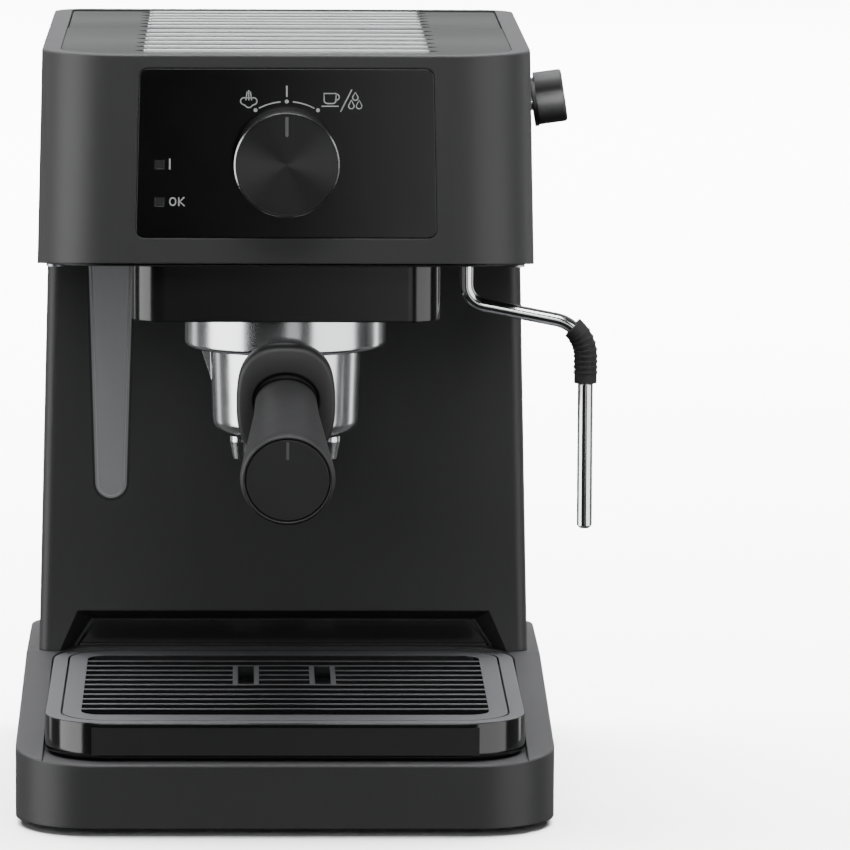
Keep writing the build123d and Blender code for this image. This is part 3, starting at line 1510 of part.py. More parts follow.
# Portafilter bowl: tapered cup with two bayonet lugs and the stub for the handle
rim_radius = bowl_rim_diameter / 2
foot_radius = bowl_foot_diameter / 2
bowl_bore = basket_diameter / 2 + fit
with BuildPart() as portafilter_bowl:
    with BuildSketch(group_section):
        Polygon(
            (0, bowl_bottom),
            (foot_radius, bowl_bottom),
            (rim_radius, rim_height),
            (0, rim_height),
            align=None,
        )
    revolve(axis=group_axis)
    fillet(portafilter_bowl.edges().group_by(Axis.Z)[0], bowl_round)
    with BuildSketch(Plane((0, group_y, lug_bottom))):
        Circle(lug_diameter / 2)
        Rectangle(2 * lug_diameter, lug_width, mode=Mode.INTERSECT)
    extrude(amount=lug_height)
    rib_top = ring_bottom - lug_clearance
    with BuildSketch(group_section):
        Polygon(
            (-foot_radius, rib_top),
            (-rim_radius - bowl_rib_reach, rib_top),
            (-foot_radius, rib_top - bowl_rib_height),
            align=None,
        )
    extrude(amount=bowl_rib_width / 2, both=True)
    with BuildSketch(handle_root):
        Circle(handle_stub_diameter / 2)
    extrude(amount=handle_root_y - group_y + rim_radius / 2)
    with BuildSketch(group_section):
        Polygon(
            (0, bowl_bottom + bowl_wall),
            (foot_radius - bowl_round, bowl_bottom + bowl_wall),
            (bowl_bore, bowl_bottom + bowl_wall + bowl_round),
            (bowl_bore, rim_height),
            (0, rim_height),
            align=None,
        )
    revolve(axis=group_axis, mode=Mode.SUBTRACT)
    with BuildSketch(Plane((0, group_y, bowl_bottom))):
        Circle(spout_spigot / 2)
    extrude(amount=2 * bowl_wall, mode=Mode.SUBTRACT)
    with BuildSketch(handle_root):
        Circle(bolt_diameter / 2)
    extrude(amount=-bolt_head_height, mode=Mode.SUBTRACT)
portafilter_bowl.part.label = "portafilter_bowl"

# Filter basket that hangs in the bowl by its lip
basket_radius = basket_diameter / 2
basket_bottom = rim_height - basket_depth
with BuildPart() as filter_basket:
    with BuildSketch(group_section):
        Polygon(
            (0, basket_bottom),
            (basket_radius, basket_bottom),
            (basket_radius, rim_height),
            (rim_radius, rim_height),
            (rim_radius, rim_height + basket_sheet),
            (basket_radius - basket_sheet, rim_height + basket_sheet),
            (basket_radius - basket_sheet, basket_bottom + basket_sheet),
            (0, basket_bottom + basket_sheet),
            align=None,
        )
    revolve(axis=group_axis)
    with BuildSketch(Plane((0, group_y, basket_bottom))):
        for circle, count in zip(basket_circles, basket_counts):
            with PolarLocations(circle, count):
                Circle(basket_sheet)
    extrude(amount=basket_sheet, mode=Mode.SUBTRACT)
filter_basket.part.label = "filter_basket"

# Twin spout screwed into the bowl's floor
bar_bottom = bowl_bottom - spout_bar
with BuildPart() as twin_spout:
    with BuildSketch(Plane((0, group_y, bar_bottom))):
        SlotOverall(spout_spread + spout_diameter, spout_diameter)
    extrude(amount=spout_bar)
    with Locations((-spout_spread / 2, group_y, spout_bottom), (spout_spread / 2, group_y, spout_bottom)):
        Cone(
            spout_tip_diameter / 2,
            spout_diameter / 2,
            bar_bottom - spout_bottom,
            align=(Align.CENTER, Align.CENTER, Align.MIN),
        )
    with BuildSketch(Plane((0, group_y, bowl_bottom))):
        Circle(spout_spigot / 2)
    extrude(amount=bowl_wall)
    with BuildSketch(Plane((0, group_y, spout_bottom))):
        with Locations((-spout_spread / 2, 0), (spout_spread / 2, 0)):
            Circle(spout_bore / 2)
    extrude(amount=bar_bottom + spout_bar / 2 - spout_bottom, mode=Mode.SUBTRACT)
    with BuildSketch(Plane((0, group_y, bar_bottom + spout_bar / 4))):
        SlotOverall(spout_spread + spout_bore, spout_bore)
    extrude(amount=spout_bar / 2, mode=Mode.SUBTRACT)
    with BuildSketch(Plane((0, group_y, bar_bottom + spout_bar / 2))):
        Circle(spout_bore / 2)
    extrude(amount=spout_bar + bowl_wall, mode=Mode.SUBTRACT)
twin_spout.part.label = "twin_spout"

# Handle grip: an oval collar at the root, a slim neck and a flared end
neck_radius = handle_neck_diameter / 2
end_radius = handle_end_diameter / 2
cap_radius = cap_diameter / 2
bolt_radius = bolt_diameter / 2
bolt_room = bolt_head / 2 + 2 * fit
cap_seat = handle_length - cap_thickness
head_seat = cap_seat - bolt_head_height - 2 * fit
collar_half_width = handle_collar_width / 2
collar_half_height = handle_collar_height / 2
waist_distance = (handle_collar_length + handle_neck_distance) / 2
waist_half_width = (collar_half_width + 2 * neck_radius) / 3
waist_half_height = (collar_half_height + 2 * neck_radius) / 3
handle_stations = (
    (0, collar_half_width - edge_round, collar_half_height - edge_round, handle_collar_drop),
    (handle_collar_length, collar_half_width, collar_half_height, handle_collar_drop),
    (waist_distance, waist_half_width, waist_half_height, handle_collar_drop / 3),
    (handle_neck_distance, neck_radius, neck_radius, 0),
    (handle_length, end_radius, end_radius, 0),
)
handle_spans = (handle_stations[:2], handle_stations[1:4], handle_stations[3:])
with BuildPart() as handle_grip:
    for span in handle_spans:
        for distance, half_across, half_tall, drop in span:
            with BuildSketch(handle_root.offset(distance)):
                with Locations((0, -drop)):
                    Ellipse(half_tall, half_across, rotation=90)
        loft()
    chamfer(handle_grip.faces().sort_by(handle_axis)[-1].edges(), edge_round / 2)
    with BuildSketch(handle_root.offset(cap_seat)):
        Circle(cap_radius)
    extrude(amount=cap_thickness, mode=Mode.SUBTRACT)
    with BuildSketch(handle_root.offset(head_seat)):
        Circle(bolt_room)
    extrude(amount=cap_seat - head_seat, mode=Mode.SUBTRACT)
    with BuildSketch(handle_root):
        Circle(bolt_radius)
    extrude(amount=head_seat, mode=Mode.SUBTRACT)
handle_grip.part.label = "handle_grip"

# Bolt through the grip into the bowl's stub
with BuildPart() as handle_bolt:
    with BuildSketch(handle_root.offset(-bolt_head_height)):
        Circle(bolt_radius)
    extrude(amount=head_seat + bolt_head_height)
    with BuildSketch(handle_root.offset(head_seat)):
        RegularPolygon(bolt_head / 2, 6)
    extrude(amount=bolt_head_height)
handle_bolt.part.label = "handle_bolt"

# Cap in the handle's end
with BuildPart() as handle_cap:
    with BuildSketch(handle_root.offset(cap_seat)):
        Circle(cap_radius)
    extrude(amount=cap_thickness - fit)
    chamfer(handle_cap.faces().sort_by(handle_axis)[-1].edges(), fit)
handle_cap.part.label = "handle_cap"

# Drip tray with a broad rim, a flat let-in front and a ledge for the grille
cavity_top = ledge_top - tray_wall
with BuildPart() as drip_tray:
    extrude(tray_plan(tray_bottom, 0), amount=tray_top - tray_bottom)
    fillet(drip_tray.faces().sort_by(Axis.Z)[-1].outer_wire().edges(), edge_round / 4)
    fillet(drip_tray.faces().sort_by(Axis.Z)[0].outer_wire().edges(), tray_foot_round)
    panel_top = tray_top - tray_panel_drop
    with BuildSketch(Plane.XZ.offset(-tray_front)):
        with Locations((0, (tray_bottom + panel_top) / 2)):
            Rectangle(tray_panel_width, panel_top - tray_bottom)
    extrude(amount=-tray_panel_depth, mode=Mode.SUBTRACT)
    cavity_bottom = tray_bottom + tray_wall
    extrude(tray_plan(cavity_bottom, tray_wall), amount=cavity_top - cavity_bottom, mode=Mode.SUBTRACT)
    extrude(tray_plan(cavity_top, tray_rim + tray_ledge), amount=tray_wall, mode=Mode.SUBTRACT)
    extrude(tray_plan(ledge_top, tray_rim), amount=tray_top - ledge_top, mode=Mode.SUBTRACT)
drip_tray.part.label = "drip_tray"

# Grille: bars across the tray and two framed holes to lift it by
tray_middle = (tray_front + tray_rear) / 2
lift_y = tray_middle + lift_hole_bars / 2 * bar_pitch
lift_length = lift_hole_bars * bar_pitch
with BuildPart() as drip_grille:
    extrude(tray_plan(grille_bottom, tray_rim + grille_gap), amount=grille_thickness)
    with BuildSketch(Plane.XY.offset(grille_bottom)):
        with Locations((0, tray_middle)):
            RectangleRounded(slot_length, slots_depth, slots_radius)
            with GridLocations(0, bar_pitch, 1, bar_count):
                Rectangle(slot_length, bar_width, mode=Mode.SUBTRACT)
        with Locations((-lift_hole_x, lift_y), (lift_hole_x, lift_y)):
            Rectangle(lift_hole_width + 2 * lift_frame, lift_length + bar_width, mode=Mode.SUBTRACT)
            Rectangle(lift_hole_width, lift_length - bar_width)
    extrude(amount=grille_thickness, mode=Mode.SUBTRACT)
drip_grille.part.label = "drip_grille"

# One file for each piece
os.makedirs("parts", exist_ok=True)
pieces = [
    base_housing,
    base_deck,
    base_plate,
    rubber_feet,
    casing_screws,
    column_shell,
    level_window,
    rear_cover,
    cord_gland,
    power_switch,
    power_rocker,
    head_shell,
    head_floor,
    group_fascia,
    cup_shelf,
    control_panel,
    indicator_lenses,
    selector_switch,
    selector_shaft,
    selector_dial,
    power_board,
    group_ring,
    group_gasket,
    shower_screen,
    boiler_body,
    boiler_seal,
    boiler_cover,
    boiler_screws,
    heating_element,
    thermostats,
    steam_valve,
    steam_inlet_pipe,
    valve_spindle,
    steam_knob,
    wand_swivel,
    steam_pipe,
    wand_grip,
    steam_nozzle,
    frother_sleeve,
    pump,
    pump_bushes,
    pump_bracket,
    relief_valve,
    suction_hose,
    pressure_hose,
    tank_seat,
    tank_seal,
    water_tank,
    tank_valve,
    tank_lid,
    lid_plate,
    lid_pin,
    portafilter_bowl,
    filter_basket,
    twin_spout,
    handle_grip,
    handle_bolt,
    handle_cap,
    drip_tray,
    drip_grille,
]
for piece in pieces:
    export_step(piece.part, f"parts/{piece.part.label}.step")
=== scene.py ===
import math

import bmesh
import bpy
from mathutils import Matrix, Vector


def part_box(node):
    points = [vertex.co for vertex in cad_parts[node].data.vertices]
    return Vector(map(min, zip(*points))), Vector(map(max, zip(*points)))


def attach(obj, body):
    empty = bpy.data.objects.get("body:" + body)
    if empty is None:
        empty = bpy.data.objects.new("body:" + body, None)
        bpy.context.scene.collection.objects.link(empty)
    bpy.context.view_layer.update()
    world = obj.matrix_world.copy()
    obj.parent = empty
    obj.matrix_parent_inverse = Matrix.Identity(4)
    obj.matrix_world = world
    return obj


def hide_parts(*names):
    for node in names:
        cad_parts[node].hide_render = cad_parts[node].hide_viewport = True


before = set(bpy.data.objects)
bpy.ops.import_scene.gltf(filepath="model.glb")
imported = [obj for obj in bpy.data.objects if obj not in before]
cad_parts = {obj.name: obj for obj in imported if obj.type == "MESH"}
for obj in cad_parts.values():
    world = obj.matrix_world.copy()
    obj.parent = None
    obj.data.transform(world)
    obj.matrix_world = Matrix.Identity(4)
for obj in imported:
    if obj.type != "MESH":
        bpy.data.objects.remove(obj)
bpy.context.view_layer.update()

MM = 0.001

# Places on the machine that printed marks and inlays sit on, in millimetres
PANEL_FRONT = -98.0
DIAL_HEIGHT = 247.0
DIAL_FACE = -111.7
LENS_ROWS = (246.0, 232.2)
HANDLE_ROOT = (0.0, -79.5, 160.5)
HANDLE_TILT = math.radians(7.0)
CAP_FACE = 129.7
REAR_FACE = 124.0
INK_THICKNESS = 0.06
STROKE = 0.45
RIGHT = (1, 0, 0)
UP = (0, 0, 1)


def linear(code):
    """Linear RGBA of an sRGB hex colour."""
    channels = [int(code[i : i + 2], 16) / 255 for i in (1, 3, 5)]
    return tuple(c / 12.92 if c <= 0.04045 else ((c + 0.055) / 1.055) ** 2.4 for c in channels) + (1.0,)


def add(tree, kind, inputs=None, **settings):
    """A new node with its settings, values and incoming links."""
    node = tree.nodes.new(kind)
    for key, value in settings.items():
        setattr(node, key, value)
    for key, value in (inputs or {}).items():
        if isinstance(value, bpy.types.NodeSocket):
            tree.links.new(value, node.inputs[key])
        else:
            node.inputs[key].default_value = value
    return node


def surface(name, colour, roughness, **sockets):
    """A new material with one principled shader; returns the material, its tree and the shader."""
    material = bpy.data.materials.new(name)
    material.use_nodes = True
    tree = material.node_tree
    shader = tree.nodes["Principled BSDF"]
    shader.inputs["Base Color"].default_value = linear(colour)
    shader.inputs["Roughness"].default_value = roughness
    for key, value in sockets.items():
        shader.inputs[key.replace("_", " ")].default_value = value
    return material, tree, shader


def vary_roughness(tree, shader, roughness, spread, patch_mm):
    """Roughness that drifts a little over patches of the given size, as handling and moulding leave it."""
    place = add(tree, "ShaderNodeTexCoord")
    scaling = {"Vector": place.outputs["Object"], "Scale": 1 / (patch_mm * MM), "Detail": 3.0}
    patches = add(tree, "ShaderNodeTexNoise", scaling)
    spans = {"Value": patches.outputs["Fac"], "To Min": roughness - spread, "To Max": roughness + spread}
    mapped = add(tree, "ShaderNodeMapRange", spans)
    tree.links.new(mapped.outputs["Result"], shader.inputs["Roughness"])


def grain(tree, shader, grain_mm, depth_mm, edge_mm=0.0, stretch=(1.0, 1.0, 1.0)):
    """Fine bump of the given grain, over edges that are softened by edge_mm."""
    place = add(tree, "ShaderNodeTexCoord")
    scaled = add(tree, "ShaderNodeMapping", {"Vector": place.outputs["Object"], "Scale": stretch})
    grains = {"Vector": scaled.outputs["Vector"], "Scale": 1 / (grain_mm * MM), "Detail": 2.0}
    noise = add(tree, "ShaderNodeTexNoise", grains)
    relief = {"Height": noise.outputs["Fac"], "Strength": 1.0, "Distance": depth_mm * MM}
    bump = add(tree, "ShaderNodeBump", relief)
    if edge_mm:
        soft = add(tree, "ShaderNodeBevel", {"Radius": edge_mm * MM}, samples=4)
        tree.links.new(soft.outputs["Normal"], bump.inputs["Normal"])
    tree.links.new(bump.outputs["Normal"], shader.inputs["Normal"])


def moulded_abs_satin():
    """ABS moulded in a finely spark-eroded tool: dark, with a soft wide sheen."""
    material, tree, shader = surface("abs_moulded_satin", "#333334", 0.46, IOR=1.53, Specular_IOR_Level=0.36)
    vary_roughness(tree, shader, 0.46, 0.03, 40.0)
    # The real grain is about 0.1 mm; it is drawn coarser so that it shows
    grain(tree, shader, 0.7, 0.012, edge_mm=0.7)
    return material


def moulded_abs_polished():
    """ABS moulded in a polished tool: black, with clear reflections and a trace of haze."""
    material, tree, shader = surface("abs_moulded_polished", "#1b1b1c", 0.16, IOR=1.53)
    vary_roughness(tree, shader, 0.16, 0.03, 25.0)
    grain(tree, shader, 12.0, 0.01, edge_mm=0.5)
    return material


def tray_plastic():
    """ABS with polished walls and a spark-eroded top: black gloss in front; the top faces are also given a
    paler grey colour, a painted sheen for the light from above.
    """
    material, tree, shader = surface("abs_two_finish_painted_top_sheen", "#0b0b0c", 0.16, IOR=1.53)
    place = add(tree, "ShaderNodeTexCoord")
    facing = add(tree, "ShaderNodeSeparateXYZ", {"Vector": place.outputs["Normal"]})
    top = add(tree, "ShaderNodeMapRange", {"Value": facing.outputs["Z"], "From Min": 0.8, "From Max": 0.95})
    # The real grain is about 0.1 mm; it is drawn coarser so that it shows
    grains = {"Vector": place.outputs["Object"], "Scale": 1 / (0.8 * MM), "Detail": 2.0}
    speckle = add(tree, "ShaderNodeTexNoise", grains)
    rough = add(tree, "ShaderNodeMapRange", {"Value": top.outputs["Result"], "To Min": 0.13, "To Max": 0.5})
    tree.links.new(rough.outputs["Result"], shader.inputs["Roughness"])
    # By number, a mix of colours takes its factor at 0, its colours at 6 and 7, and gives its result at 2
    # Painted sheen: faces that point up get a paler grey than the walls, for the light they catch from above
    walls_to_painted_top_sheen = {0: top.outputs["Result"], 6: linear("#19191a"), 7: linear("#464749")}
    tones = add(tree, "ShaderNodeMix", walls_to_painted_top_sheen, data_type="RGBA")
    tree.links.new(tones.outputs[2], shader.inputs["Base Color"])
    relief = {"Height": speckle.outputs["Fac"], "Distance": 0.01 * MM, "Strength": 0.5}
    bump = add(tree, "ShaderNodeBump", relief)
    soft = add(tree, "ShaderNodeBevel", {"Radius": 0.5 * MM}, samples=4)
    tree.links.new(soft.outputs["Normal"], bump.inputs["Normal"])
    tree.links.new(bump.outputs["Normal"], shader.inputs["Normal"])
    return material


def printed_polycarbonate():
    """Back-painted polycarbonate panel: deep black under a smooth clear face."""
    material, tree, shader = surface("polycarbonate_back_painted", "#050506", 0.14, IOR=1.58)
    vary_roughness(tree, shader, 0.14, 0.03, 30.0)
    grain(tree, shader, 15.0, 0.008, edge_mm=0.4)
    return material


def phenolic_handle():
    """Compression-moulded phenolic: near-black with a dull even sheen."""
    material, tree, shader = surface("phenolic_moulded", "#0f0f10", 0.58, IOR=1.6)
    vary_roughness(tree, shader, 0.58, 0.04, 20.0)
    # Filler flecks are drawn about three times their real size so that they show
    grain(tree, shader, 0.9, 0.01, edge_mm=0.4)
    return material


def turned_dial():
    """Lathe-turned face under black lacquer: the highlight spreads into two fans."""
    material, tree, shader = surface("aluminium_turned_black", "#0b0b0c", 0.34, IOR=1.53, Anisotropic=0.75)
    tangent = add(tree, "ShaderNodeTangent", direction_type="RADIAL", axis="Y")
    tree.links.new(tangent.outputs["Tangent"], shader.inputs["Tangent"])
    vary_roughness(tree, shader, 0.34, 0.02, 6.0)
    return material


def nitrile_rubber():
    """Moulded rubber: black and almost without sheen."""
    material, tree, shader = surface("rubber_moulded", "#161616", 0.72, IOR=1.52)
    vary_roughness(tree, shader, 0.72, 0.05, 5.0)
    grain(tree, shader, 0.6, 0.015, edge_mm=0.3)
    return material


def silicone_hose():
    """Extruded silicone: milky, soft and slightly see-through."""
    material, tree, shader = surface("silicone_extruded", "#d9d7d0", 0.5, IOR=1.41, Transmission_Weight=0.25)
    grain(tree, shader, 1.5, 0.01)
    return material


def chrome_plate():
    """Chrome on a casting that was polished to a satin: bright and a little cold, in broad soft bands."""
    material, tree, shader = surface("chrome_plated_satin", "#dcdddf", 0.2, Metallic=1.0)
    vary_roughness(tree, shader, 0.2, 0.04, 10.0)
    grain(tree, shader, 9.0, 0.006, edge_mm=0.3)
    return material


def polished_stainless():
    """Drawn and polished stainless tube: bright, with faint lengthwise draw lines."""
    material, tree, shader = surface("stainless_polished", "#dedfe0", 0.13, Metallic=1.0)
    vary_roughness(tree, shader, 0.13, 0.03, 6.0)
    grain(tree, shader, 0.8, 0.004, stretch=(1.0, 1.0, 0.05))
    return material


def brushed_stainless():
    """Stainless sheet brushed from side to side: grey, with a streaky sheen across the strokes."""
    material, tree, shader = surface("stainless_brushed", "#c4c5c6", 0.3, Metallic=1.0, Anisotropic=0.5)
    place = add(tree, "ShaderNodeTexCoord")
    stretched = add(tree, "ShaderNodeMapping", {"Vector": place.outputs["Object"], "Scale": (0.02, 1.0, 1.0)})
    # Brush strokes are 0.1 mm apart on the sheet; they are drawn at 0.5 mm so that they show
    lines = {"Vector": stretched.outputs["Vector"], "Scale": 1 / (0.5 * MM), "Detail": 4.0}
    strokes = add(tree, "ShaderNodeTexNoise", lines)
    rough = add(tree, "ShaderNodeMapRange", {"Value": strokes.outputs["Fac"], "To Min": 0.22, "To Max": 0.4})
    tree.links.new(rough.outputs["Result"], shader.inputs["Roughness"])
    relief = {"Height": strokes.outputs["Fac"], "Distance": 0.01 * MM, "Strength": 0.6}
    bump = add(tree, "ShaderNodeBump", relief)
    tree.links.new(bump.outputs["Normal"], shader.inputs["Normal"])
    return material


def zinc_plated_steel():
    """Zinc-plated screws and pins: grey metal with a faint mottle."""
    material, tree, shader = surface("steel_zinc_plated", "#a3a5a8", 0.36, Metallic=1.0)
    vary_roughness(tree, shader, 0.36, 0.08, 1.5)
    return material


def diamond_cut():
    """Aluminium turned with a diamond tool: a thin bright line that mirrors the lights beside it."""
    material, tree, shader = surface("aluminium_diamond_cut", "#8e8f91", 0.22, Metallic=1.0)
    vary_roughness(tree, shader, 0.22, 0.05, 2.0)
    return material


def machined_brass():
    """Machined brass fittings: warm yellow metal with turning marks."""
    material, tree, shader = surface("brass_machined", "#c2a25c", 0.3, Metallic=1.0)
    vary_roughness(tree, shader, 0.3, 0.08, 2.0)
    grain(tree, shader, 0.8, 0.01, stretch=(1.0, 1.0, 4.0))
    return material


def cast_aluminium():
    """Die-cast aluminium: pale grey metal with a coarse cast skin."""
    material, tree, shader = surface("aluminium_die_cast", "#aeb0b2", 0.48, Metallic=1.0)
    vary_roughness(tree, shader, 0.48, 0.08, 4.0)
    grain(tree, shader, 1.0, 0.04)
    return material


def smoked_window():
    """Smoked polycarbonate window: grey and smooth, with a faint painted glow from emission that lifts it and
    evens out the shade under the head.
    """
    # Painted glow: the window emits a little light of its own, though no lamp is behind it
    painted_glow = {"Transmission_Weight": 0.12, "Emission_Color": linear("#d8d9dc"), "Emission_Strength": 0.095}
    material, tree, shader = surface("polycarbonate_smoked_painted_glow", "#8d8e91", 0.22, IOR=1.58, **painted_glow)
    vary_roughness(tree, shader, 0.22, 0.03, 15.0)
    grain(tree, shader, 14.0, 0.01)
    return material


def painted_edge_highlight():
    """Painted highlight for the edge of the window's moulding: a thin pale line in place of the light that
    edge catches.
    """
    material, tree, shader = surface("painted_window_edge_highlight", "#b4b5b8", 0.3, IOR=1.58)
    vary_roughness(tree, shader, 0.3, 0.05, 8.0)
    return material


def tray_panel_plastic():
    """ABS from a finely blasted tool: a dark satin between two polished corners."""
    material, tree, shader = surface("abs_moulded_blasted", "#19191a", 0.4, IOR=1.53)
    vary_roughness(tree, shader, 0.4, 0.03, 20.0)
    grain(tree, shader, 0.7, 0.008)
    return material


def clear_tank():
    """Clear styrene copolymer: glass-like with a slight cold tint and moulding flow."""
    material, tree, shader = surface("san_moulded_clear", "#dfe6e8", 0.06, IOR=1.57, Transmission_Weight=0.92)
    vary_roughness(tree, shader, 0.06, 0.02, 20.0)
    grain(tree, shader, 18.0, 0.02)
    return material


def lamp_lens():
    """Tinted lamp lens: dark grey while the lamp behind it is off."""
    material, tree, shader = surface("acrylic_tinted_lens", "#2b2b2d", 0.25, IOR=1.49)
    vary_roughness(tree, shader, 0.25, 0.04, 2.0)
    return material


def circuit_board():
    """Glass-fibre laminate under green resist, with slightly paler tracks."""
    material, tree, shader = surface("laminate_solder_resist", "#17472b", 0.35, IOR=1.5)
    place = add(tree, "ShaderNodeTexCoord")
    tracks = add(tree, "ShaderNodeTexVoronoi", {"Vector": place.outputs["Object"], "Scale": 1 / (4.0 * MM)})
    track_to_resist = {0: tracks.outputs["Distance"], 6: linear("#2a6b43"), 7: linear("#17472b")}
    tones = add(tree, "ShaderNodeMix", track_to_resist, data_type="RGBA")
    tree.links.new(tones.outputs[2], shader.inputs["Base Color"])
    return material


def print_or_painted_shade(name, colour):
    """Screen-printed ink, or flat near-black that paints the shade in recesses and gaps: flat and a little
    chalky.
    """
    material, tree, shader = surface(name, colour, 0.6, IOR=1.5)
    vary_roughness(tree, shader, 0.6, 0.06, 1.0)
    return material


# What each piece is made of
FINISHES = {
    moulded_abs_satin(): [
        "base_housing", "base_deck", "base_plate", "column_shell", "rear_cover", "head_shell", "head_floor",
        "tank_lid", "steam_knob",
    ],
    moulded_abs_polished(): ["group_fascia", "cord_gland", "power_rocker"],
    tray_plastic(): ["drip_tray", "drip_grille"],
    printed_polycarbonate(): ["control_panel"],
    phenolic_handle(): [
        "handle_grip", "handle_cap", "power_switch", "selector_switch", "tank_seat", "pump", "tank_valve",
    ],
    turned_dial(): ["selector_dial"],
    nitrile_rubber(): [
        "rubber_feet", "group_gasket", "boiler_seal", "wand_grip", "tank_seal", "pump_bushes",
    ],
    silicone_hose(): ["suction_hose", "pressure_hose"],
    chrome_plate(): ["group_ring", "portafilter_bowl", "twin_spout"],
    polished_stainless(): [
        "steam_pipe", "steam_nozzle", "frother_sleeve", "filter_basket", "shower_screen", "selector_shaft",
        "valve_spindle", "heating_element",
    ],
    brushed_stainless(): ["cup_shelf", "lid_plate", "pump_bracket", "thermostats"],
    zinc_plated_steel(): ["casing_screws", "boiler_screws", "handle_bolt", "lid_pin"],
    machined_brass(): ["steam_valve", "wand_swivel", "relief_valve", "steam_inlet_pipe"],
    cast_aluminium(): ["boiler_body", "boiler_cover"],
    smoked_window(): ["level_window"],
    clear_tank(): ["water_tank"],
    lamp_lens(): ["indicator_lenses"],
    circuit_board(): ["power_board"],
}
for finish, names in FINISHES.items():
    for name in names:
        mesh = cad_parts[name].data
        mesh.materials.clear()
        mesh.materials.append(finish)


class Face:
    """A flat place: an origin in millimetres with right, up and outward directions."""

    def __init__(self, origin, right, up):
        self.origin = Vector(origin)
        self.right = Vector(right).normalized()
        self.up = Vector(up).normalized()
        self.out = self.right.cross(self.up)

    def at(self, x, y, height):
        return (self.origin + x * self.right + y * self.up + height * self.out) * MM


def prism(mesh, face, outline, low, high):
    """A flat solid with that outline, from low to high above the face."""
    bottom = [mesh.verts.new(face.at(x, y, low)) for x, y in outline]
    top = [mesh.verts.new(face.at(x, y, high)) for x, y in outline]
    mesh.faces.new(top)
    mesh.faces.new(bottom[::-1])
    for i in range(len(outline)):
        j = (i + 1) % len(outline)
        mesh.faces.new((bottom[i], bottom[j], top[j], top[i]))


def ribbon(points, width, closed=False):
    """Left and right edges of a line of the given width through the points."""
    count = len(points)
    left, right = [], []
    for i, (x, y) in enumerate(points):
        before = points[i - 1] if i or closed else points[i]
        after = points[(i + 1) % count] if i < count - 1 or closed else points[i]
        along = Vector((after[0] - before[0], after[1] - before[1])).normalized()
        left.append((x - along.y * width / 2, y + along.x * width / 2))
        right.append((x + along.y * width / 2, y - along.x * width / 2))
    return left, right


def line(mesh, face, points, width=STROKE, closed=False, low=0.0, high=INK_THICKNESS):
    """A printed line through the points; a closed one goes round as a band."""
    left, right = ribbon(points, width, closed)
    rows = []
    for (lx, ly), (rx, ry) in zip(left, right):
        corners = ((lx, ly, low), (rx, ry, low), (rx, ry, high), (lx, ly, high))
        rows.append([mesh.verts.new(face.at(*corner)) for corner in corners])
    spans = list(zip(rows, rows[1:]))
    if closed:
        spans.append((rows[-1], rows[0]))
    for a, b in spans:
        for i in range(4):
            j = (i + 1) % 4
            mesh.faces.new((a[i], a[j], b[j], b[i]))
    if not closed:
        mesh.faces.new(rows[0][::-1])
        mesh.faces.new(rows[-1])


def arc(x, y, radius, start, end, steps=16):
    """Points along an arc, with angles in degrees from the right."""
    angles = [math.radians(start + (end - start) * i / steps) for i in range(steps + 1)]
    return [(x + radius * math.cos(a), y + radius * math.sin(a)) for a in angles]


def ring(x, y, radius, steps=24):
    """Points round a circle."""
    return arc(x, y, radius, 0, 360, steps)[:-1]


def piece(name, mesh, body, finish):
    """Turns the mesh into an object that rides on the body."""
    bmesh.ops.recalc_face_normals(mesh, faces=mesh.faces)
    data = bpy.data.meshes.new(name)
    mesh.to_mesh(data)
    mesh.free()
    data.materials.append(finish)
    made = bpy.data.objects.new(name, data)
    bpy.context.scene.collection.objects.link(made)
    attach(made, body)
    return made


pale_ink = print_or_painted_shade("ink_screen_printed_pale", "#b6b7b8")
grey_ink = print_or_painted_shade("ink_screen_printed_grey", "#5d5e60")
# Painted shade: flat near-black marks stand in for the shadow inside gaps, notches and screw recesses
painted_shade = print_or_painted_shade("painted_shade_black", "#050505")

# Scale round the dial: three dots joined by arcs, with a bar over the middle one
panel = Face((0, PANEL_FRONT, 0), RIGHT, UP)
SCALE_RADIUS = 22.1
SCALE_ANGLE = 31.1
DOT_RADIUS = 0.72
ARC_GAP = 5.8
ARC_END = 27.4
scale = bmesh.new()
for angle in (90 - SCALE_ANGLE, 90, 90 + SCALE_ANGLE):
    x, z = arc(0, DIAL_HEIGHT, SCALE_RADIUS, angle, angle, 1)[0]
    prism(scale, panel, ring(x, z, DOT_RADIUS), 0.0, INK_THICKNESS)
for side in (-1, 1):
    line(scale, panel, arc(0, DIAL_HEIGHT, SCALE_RADIUS, 90 + side * ARC_GAP, 90 + side * ARC_END))
line(scale, panel, [(0, 270.8), (0, 274.9)], 0.6)
piece("dial_scale_print", scale, "machine", pale_ink)

# Steam sign: a cloud with three jets
STEAM = (-13.9, 269.0)
steam = bmesh.new()
cloud = (
    arc(STEAM[0] + 1.75, STEAM[1] + 0.2, 1.25, -70, 110)
    + arc(STEAM[0] - 1.75, STEAM[1] + 0.2, 1.25, 70, 250)
    + arc(STEAM[0], STEAM[1] - 0.7, 1.45, 205, 335)
)
STEAM_STROKE = 0.42
line(steam, panel, cloud, STEAM_STROKE, closed=True)
for lean in (-1, 0, 1):
    foot = (STEAM[0] + lean * 1.05, STEAM[1] + 0.5)
    tip = (STEAM[0] + lean * 0.6, STEAM[1] + 4.2 - abs(lean) * 0.5)
    line(steam, panel, [foot, tip], STEAM_STROKE)
piece("steam_sign_print", steam, "machine", pale_ink)

